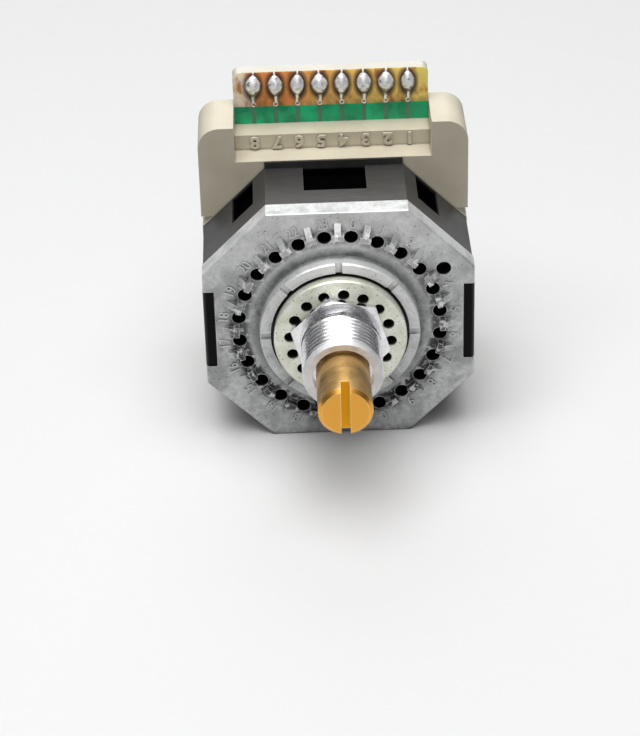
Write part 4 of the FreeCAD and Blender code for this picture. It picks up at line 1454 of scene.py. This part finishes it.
@dataclass(frozen=True)
class Studio:
    """The plain pale floor, the soft lamps and the camera at the photograph's angle."""

    focal_length: float = 122.0
    sensor_width: float = 36.0
    clip: Span = (0.01, 20.0)
    distance: float = 280.91 * MM
    pitch: float = 32.11
    yaw: float = 0.85
    roll: float = 1.61
    aim_x: float = 2.29 * MM
    aim_z: float = 3.73 * MM
    aim_y: float = 1.5 * MM
    zenith: Colour = (1.0, 1.0, 1.0)
    horizon: Colour = (0.13, 0.13, 0.14)
    rise: Triple = (0.0, 0.5, 0.75)
    rise_ends: Span = (0.15, 0.75)
    floor_colour: Colour = (0.778, 0.778, 0.78)
    floor_bounce: Colour = (0.30, 0.295, 0.285)
    floor_size: float = 3.0
    floor_fade: Span = (0.11, 0.30)
    floor_roughness: float = 0.9
    backdrop: Colour = (0.88, 0.88, 0.882)
    sky_colour: Colour = (1.0, 1.0, 1.0)
    sky: float = 0.07
    lit_point: Triple = (0.0, 0.008, 0.005)
    lamps: tuple[Lamp, ...] = (
        Lamp("overhead_lamp", (-0.03, -0.05, 0.40), 0.42, 2.3),
        Lamp("back_lamp", (-0.02, 0.44, 0.30), 0.26, 0.5),
        Lamp("front_lamp", (-0.01, -0.40, 0.22), 0.28, 0.18),
    )

    def camera(self) -> None:
        """Makes the camera."""
        turned = (
            Matrix.Rotation(math.radians(-self.roll), 3, "Y")
            @ Matrix.Rotation(math.radians(self.pitch), 3, "X")
            @ Matrix.Rotation(math.radians(self.yaw), 3, "Z")
        )
        right, forward, up = turned.row
        data = bpy.data.cameras.new("camera")
        data.lens = self.focal_length
        data.sensor_width = self.sensor_width
        data.clip_start, data.clip_end = self.clip
        holder = bpy.data.objects.new("camera", data)
        bpy.context.scene.collection.objects.link(holder)
        aim = turned.transposed() @ Vector((self.aim_x, self.distance, self.aim_z))
        axes = Matrix((right, up, -forward)).transposed()
        holder.matrix_world = Matrix.Translation(Vector((0.0, self.aim_y, 0.0)) - aim) @ axes.to_4x4()
        bpy.context.scene.camera = holder

    def world(self) -> None:
        """Makes the surroundings: a dim even light that looks pale to the camera and in metal."""
        world = bpy.data.worlds.new("surroundings")
        bpy.context.scene.world = world
        world.use_nodes = True
        net = NodeNet(world.node_tree)
        plain = net.tree.nodes["Background"]
        net.feed(plain.inputs["Color"], (*self.sky_colour, 1.0))
        net.feed(plain.inputs["Strength"], self.sky)

        height = net.dot(net.node("TexCoord").outputs["Generated"], self.rise)
        low, high = self.rise_ends
        gradient = net.ramp(height, [(low, self.horizon), (high, self.zenith)])
        camera_ray = net.node("LightPath").outputs["Is Camera Ray"]
        pale = net.node("Background")
        net.feed(pale.inputs["Color"], net.mix(camera_ray, gradient, self.backdrop))

        chosen = net.node("MixShader")
        net.feed(chosen.inputs["Fac"], net.seen())
        net.feed(chosen.inputs[1], plain.outputs[0])
        net.feed(chosen.inputs[2], pale.outputs[0])
        net.feed(net.tree.nodes["World Output"].inputs["Surface"], chosen.outputs[0])

    def floor_finish(self) -> Material:
        """Makes the floor's material, which fades out into the backdrop.

        Returns:
            The finished material.
        """
        shading = Shading("pale_floor")
        shading.give("Base Color", shading.mix(shading.seen(), self.floor_bounce, self.floor_colour))
        across, along, _ = shading.axes()
        near, far = self.floor_fade
        shading.give("Alpha", shading.mapped(shading.distance(across, along), (far, near)))
        shading.give("Roughness", self.floor_roughness)
        return shading.material

    def floor(self) -> None:
        """Makes the floor under the lowest point of the part."""
        shape = bmesh.new()
        bmesh.ops.create_grid(shape, x_segments=1, y_segments=1, size=self.floor_size / 2)
        bmesh.ops.translate(shape, verts=shape.verts, vec=(0.0, 0.0, CAD_BOX[0].z))
        data = bpy.data.meshes.new("floor")
        shape.to_mesh(data)
        shape.free()
        data.materials.append(self.floor_finish())
        ground = bpy.data.objects.new("floor", data)
        bpy.context.scene.collection.objects.link(ground)

    def build(self) -> None:
        """Sets the stage."""
        bpy.context.scene.view_settings.view_transform = "Standard"
        self.world()
        self.floor()
        for lamp in self.lamps:
            lamp.build(Vector(self.lit_point))
        self.camera()


class Finishes:
    """Every finish of the switch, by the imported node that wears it."""

    def __init__(self, terminals: TerminalRow) -> None:
        """Makes the materials.

        Args:
            terminals: the row that the board's print follows.
        """
        self.cast = CastMetal("cast_plate").build()
        self.nickel = PlatedMetal(
            "nickel_plating", colour=(0.86, 0.86, 0.87), haze=(0.70, 0.70, 0.71),
            roughness=0.2, metal=1.0, satin_front=-6.95 * MM,
        ).build()
        self.passivated = PlatedMetal(
            "plated_disc", colour=(0.86, 0.87, 0.78), haze=(0.72, 0.74, 0.60),
            roughness=0.34, metal=0.6, holes_behind=0.65 * MM, rim_behind=1.5 * MM,
        ).build()
        self.tinned = PlatedMetal(
            "tinned_pins", colour=(0.82, 0.82, 0.80), haze=(0.6, 0.6, 0.58),
            roughness=0.3, metal=1.0, blotch=0.5 * MM,
        ).build()
        self.copper = PlatedMetal(
            "copper", colour=(0.85, 0.42, 0.25), haze=(0.62, 0.27, 0.15), roughness=0.3, metal=1.0,
        ).build()
        self.brass = TurnedBrass("brass").build()
        self.dark = ScuffedMoulding(
            "dark_plastic", colour=(0.048, 0.047, 0.046), shade=(0.034, 0.033, 0.033),
            rubbed=(0.14, 0.137, 0.134), roughness=0.42, specular=0.4,
        ).build()
        self.glossy = MouldedPlastic(
            "glossy_plastic", colour=(0.003, 0.003, 0.003), shade=(0.002, 0.002, 0.002),
            rubbed=(0.045, 0.045, 0.045), roughness=0.3, specular=0.08, rubbed_beyond=14.95 * MM,
        ).build()
        self.beige = MouldedPlastic(
            "beige_plastic", colour=(0.64, 0.59, 0.462), shade=(0.575, 0.525, 0.405),
            rubbed=(0.76, 0.72, 0.60), roughness=0.48,
        ).build()
        self.white = MouldedPlastic(
            "white_plastic", colour=(0.74, 0.73, 0.69), shade=(0.66, 0.65, 0.61),
            rubbed=(0.80, 0.79, 0.76), roughness=0.45,
        ).build()
        self.rubber = MouldedPlastic(
            "rubber", colour=(0.022, 0.022, 0.023), shade=(0.014, 0.014, 0.015),
            rubbed=(0.04, 0.04, 0.04), roughness=0.7,
        ).build()
        self.steel = SmoothSteel("steel").build()
        self.polished = SmoothSteel("ball_steel", colour=(0.78, 0.79, 0.80), roughness=0.1).build()
        self.blackened = SmoothSteel(
            "black_spring_steel", colour=(0.035, 0.035, 0.037), roughness=0.42,
        ).build()
        self.wire = SmoothSteel("spring_wire", colour=(0.50, 0.50, 0.51), roughness=0.25).build()
        # Near-black: a dark phosphate, and painted shade for the index holes in front of the detent ring.
        self.phosphated = SmoothSteel("phosphated_steel", colour=(0.035, 0.035, 0.037), roughness=0.6).build()
        self.solder = WettedSolder("solder").build()
        self.board = SolderMaskBoard(
            "board_laminate", joint_height=terminals.height, pitch=terminals.pitch,
        ).build()

    def by_node(self) -> dict[str, Material]:
        """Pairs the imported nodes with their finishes.

        Returns:
            The finish of each node.
        """
        return {
            "mounting_plate": self.cast,
            "snap_ring": self.blackened,
            "index_washer": self.passivated,
            "threaded_bushing": self.nickel,
            "front_housing": self.dark,
            "notch_keys": self.glossy,
            # Near-black, partly painted shade seen through the index holes.
            "detent_ring": self.phosphated,
            "stop_pin": self.steel,
            "terminal_housing": self.beige,
            "circuit_board": self.board,
            "contact_tracks": self.copper,
            "terminal_pins": self.tinned,
            "solder_joints": self.solder,
            "rear_cover": self.dark,
            "rear_bush": self.brass,
            "assembly_screws": self.steel,
            "shaft": self.brass,
            "shaft_seal": self.rubber,
            "thrust_washer": self.steel,
            "retaining_clip": self.blackened,
            "stop_arm": self.steel,
            "detent_rotor": self.steel,
            "spacer_tube": self.brass,
            "contact_rotor": self.white,
            "contact_brushes": self.copper,
            "detent_ball_top": self.polished,
            "detent_ball_bottom": self.polished,
            "detent_spring_top": self.wire,
            "detent_spring_bottom": self.wire,
        }

    def dress(self) -> None:
        """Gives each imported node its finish."""
        for name, material in self.by_node().items():
            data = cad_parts[name].data
            data.materials.clear()
            data.materials.append(material)
            LOG.info("%s: dressed in %s", name, material.name)


def main() -> None:
    """Builds the studio, dresses the nodes and adds the pieces that the CAD leaves to this script."""
    logging.basicConfig(level=logging.INFO, format="%(name)s: %(message)s")
    Studio().build()
    terminals = TerminalRow()
    finishes = Finishes(terminals)
    finishes.dress()
    ThreadedBushing().build(finishes.nickel)
    IndexScale().build(finishes.cast)
    terminals.build(finishes.solder, finishes.beige)
    DetentSprings().build(finishes.wire)


if __name__ == "__main__":
    main()
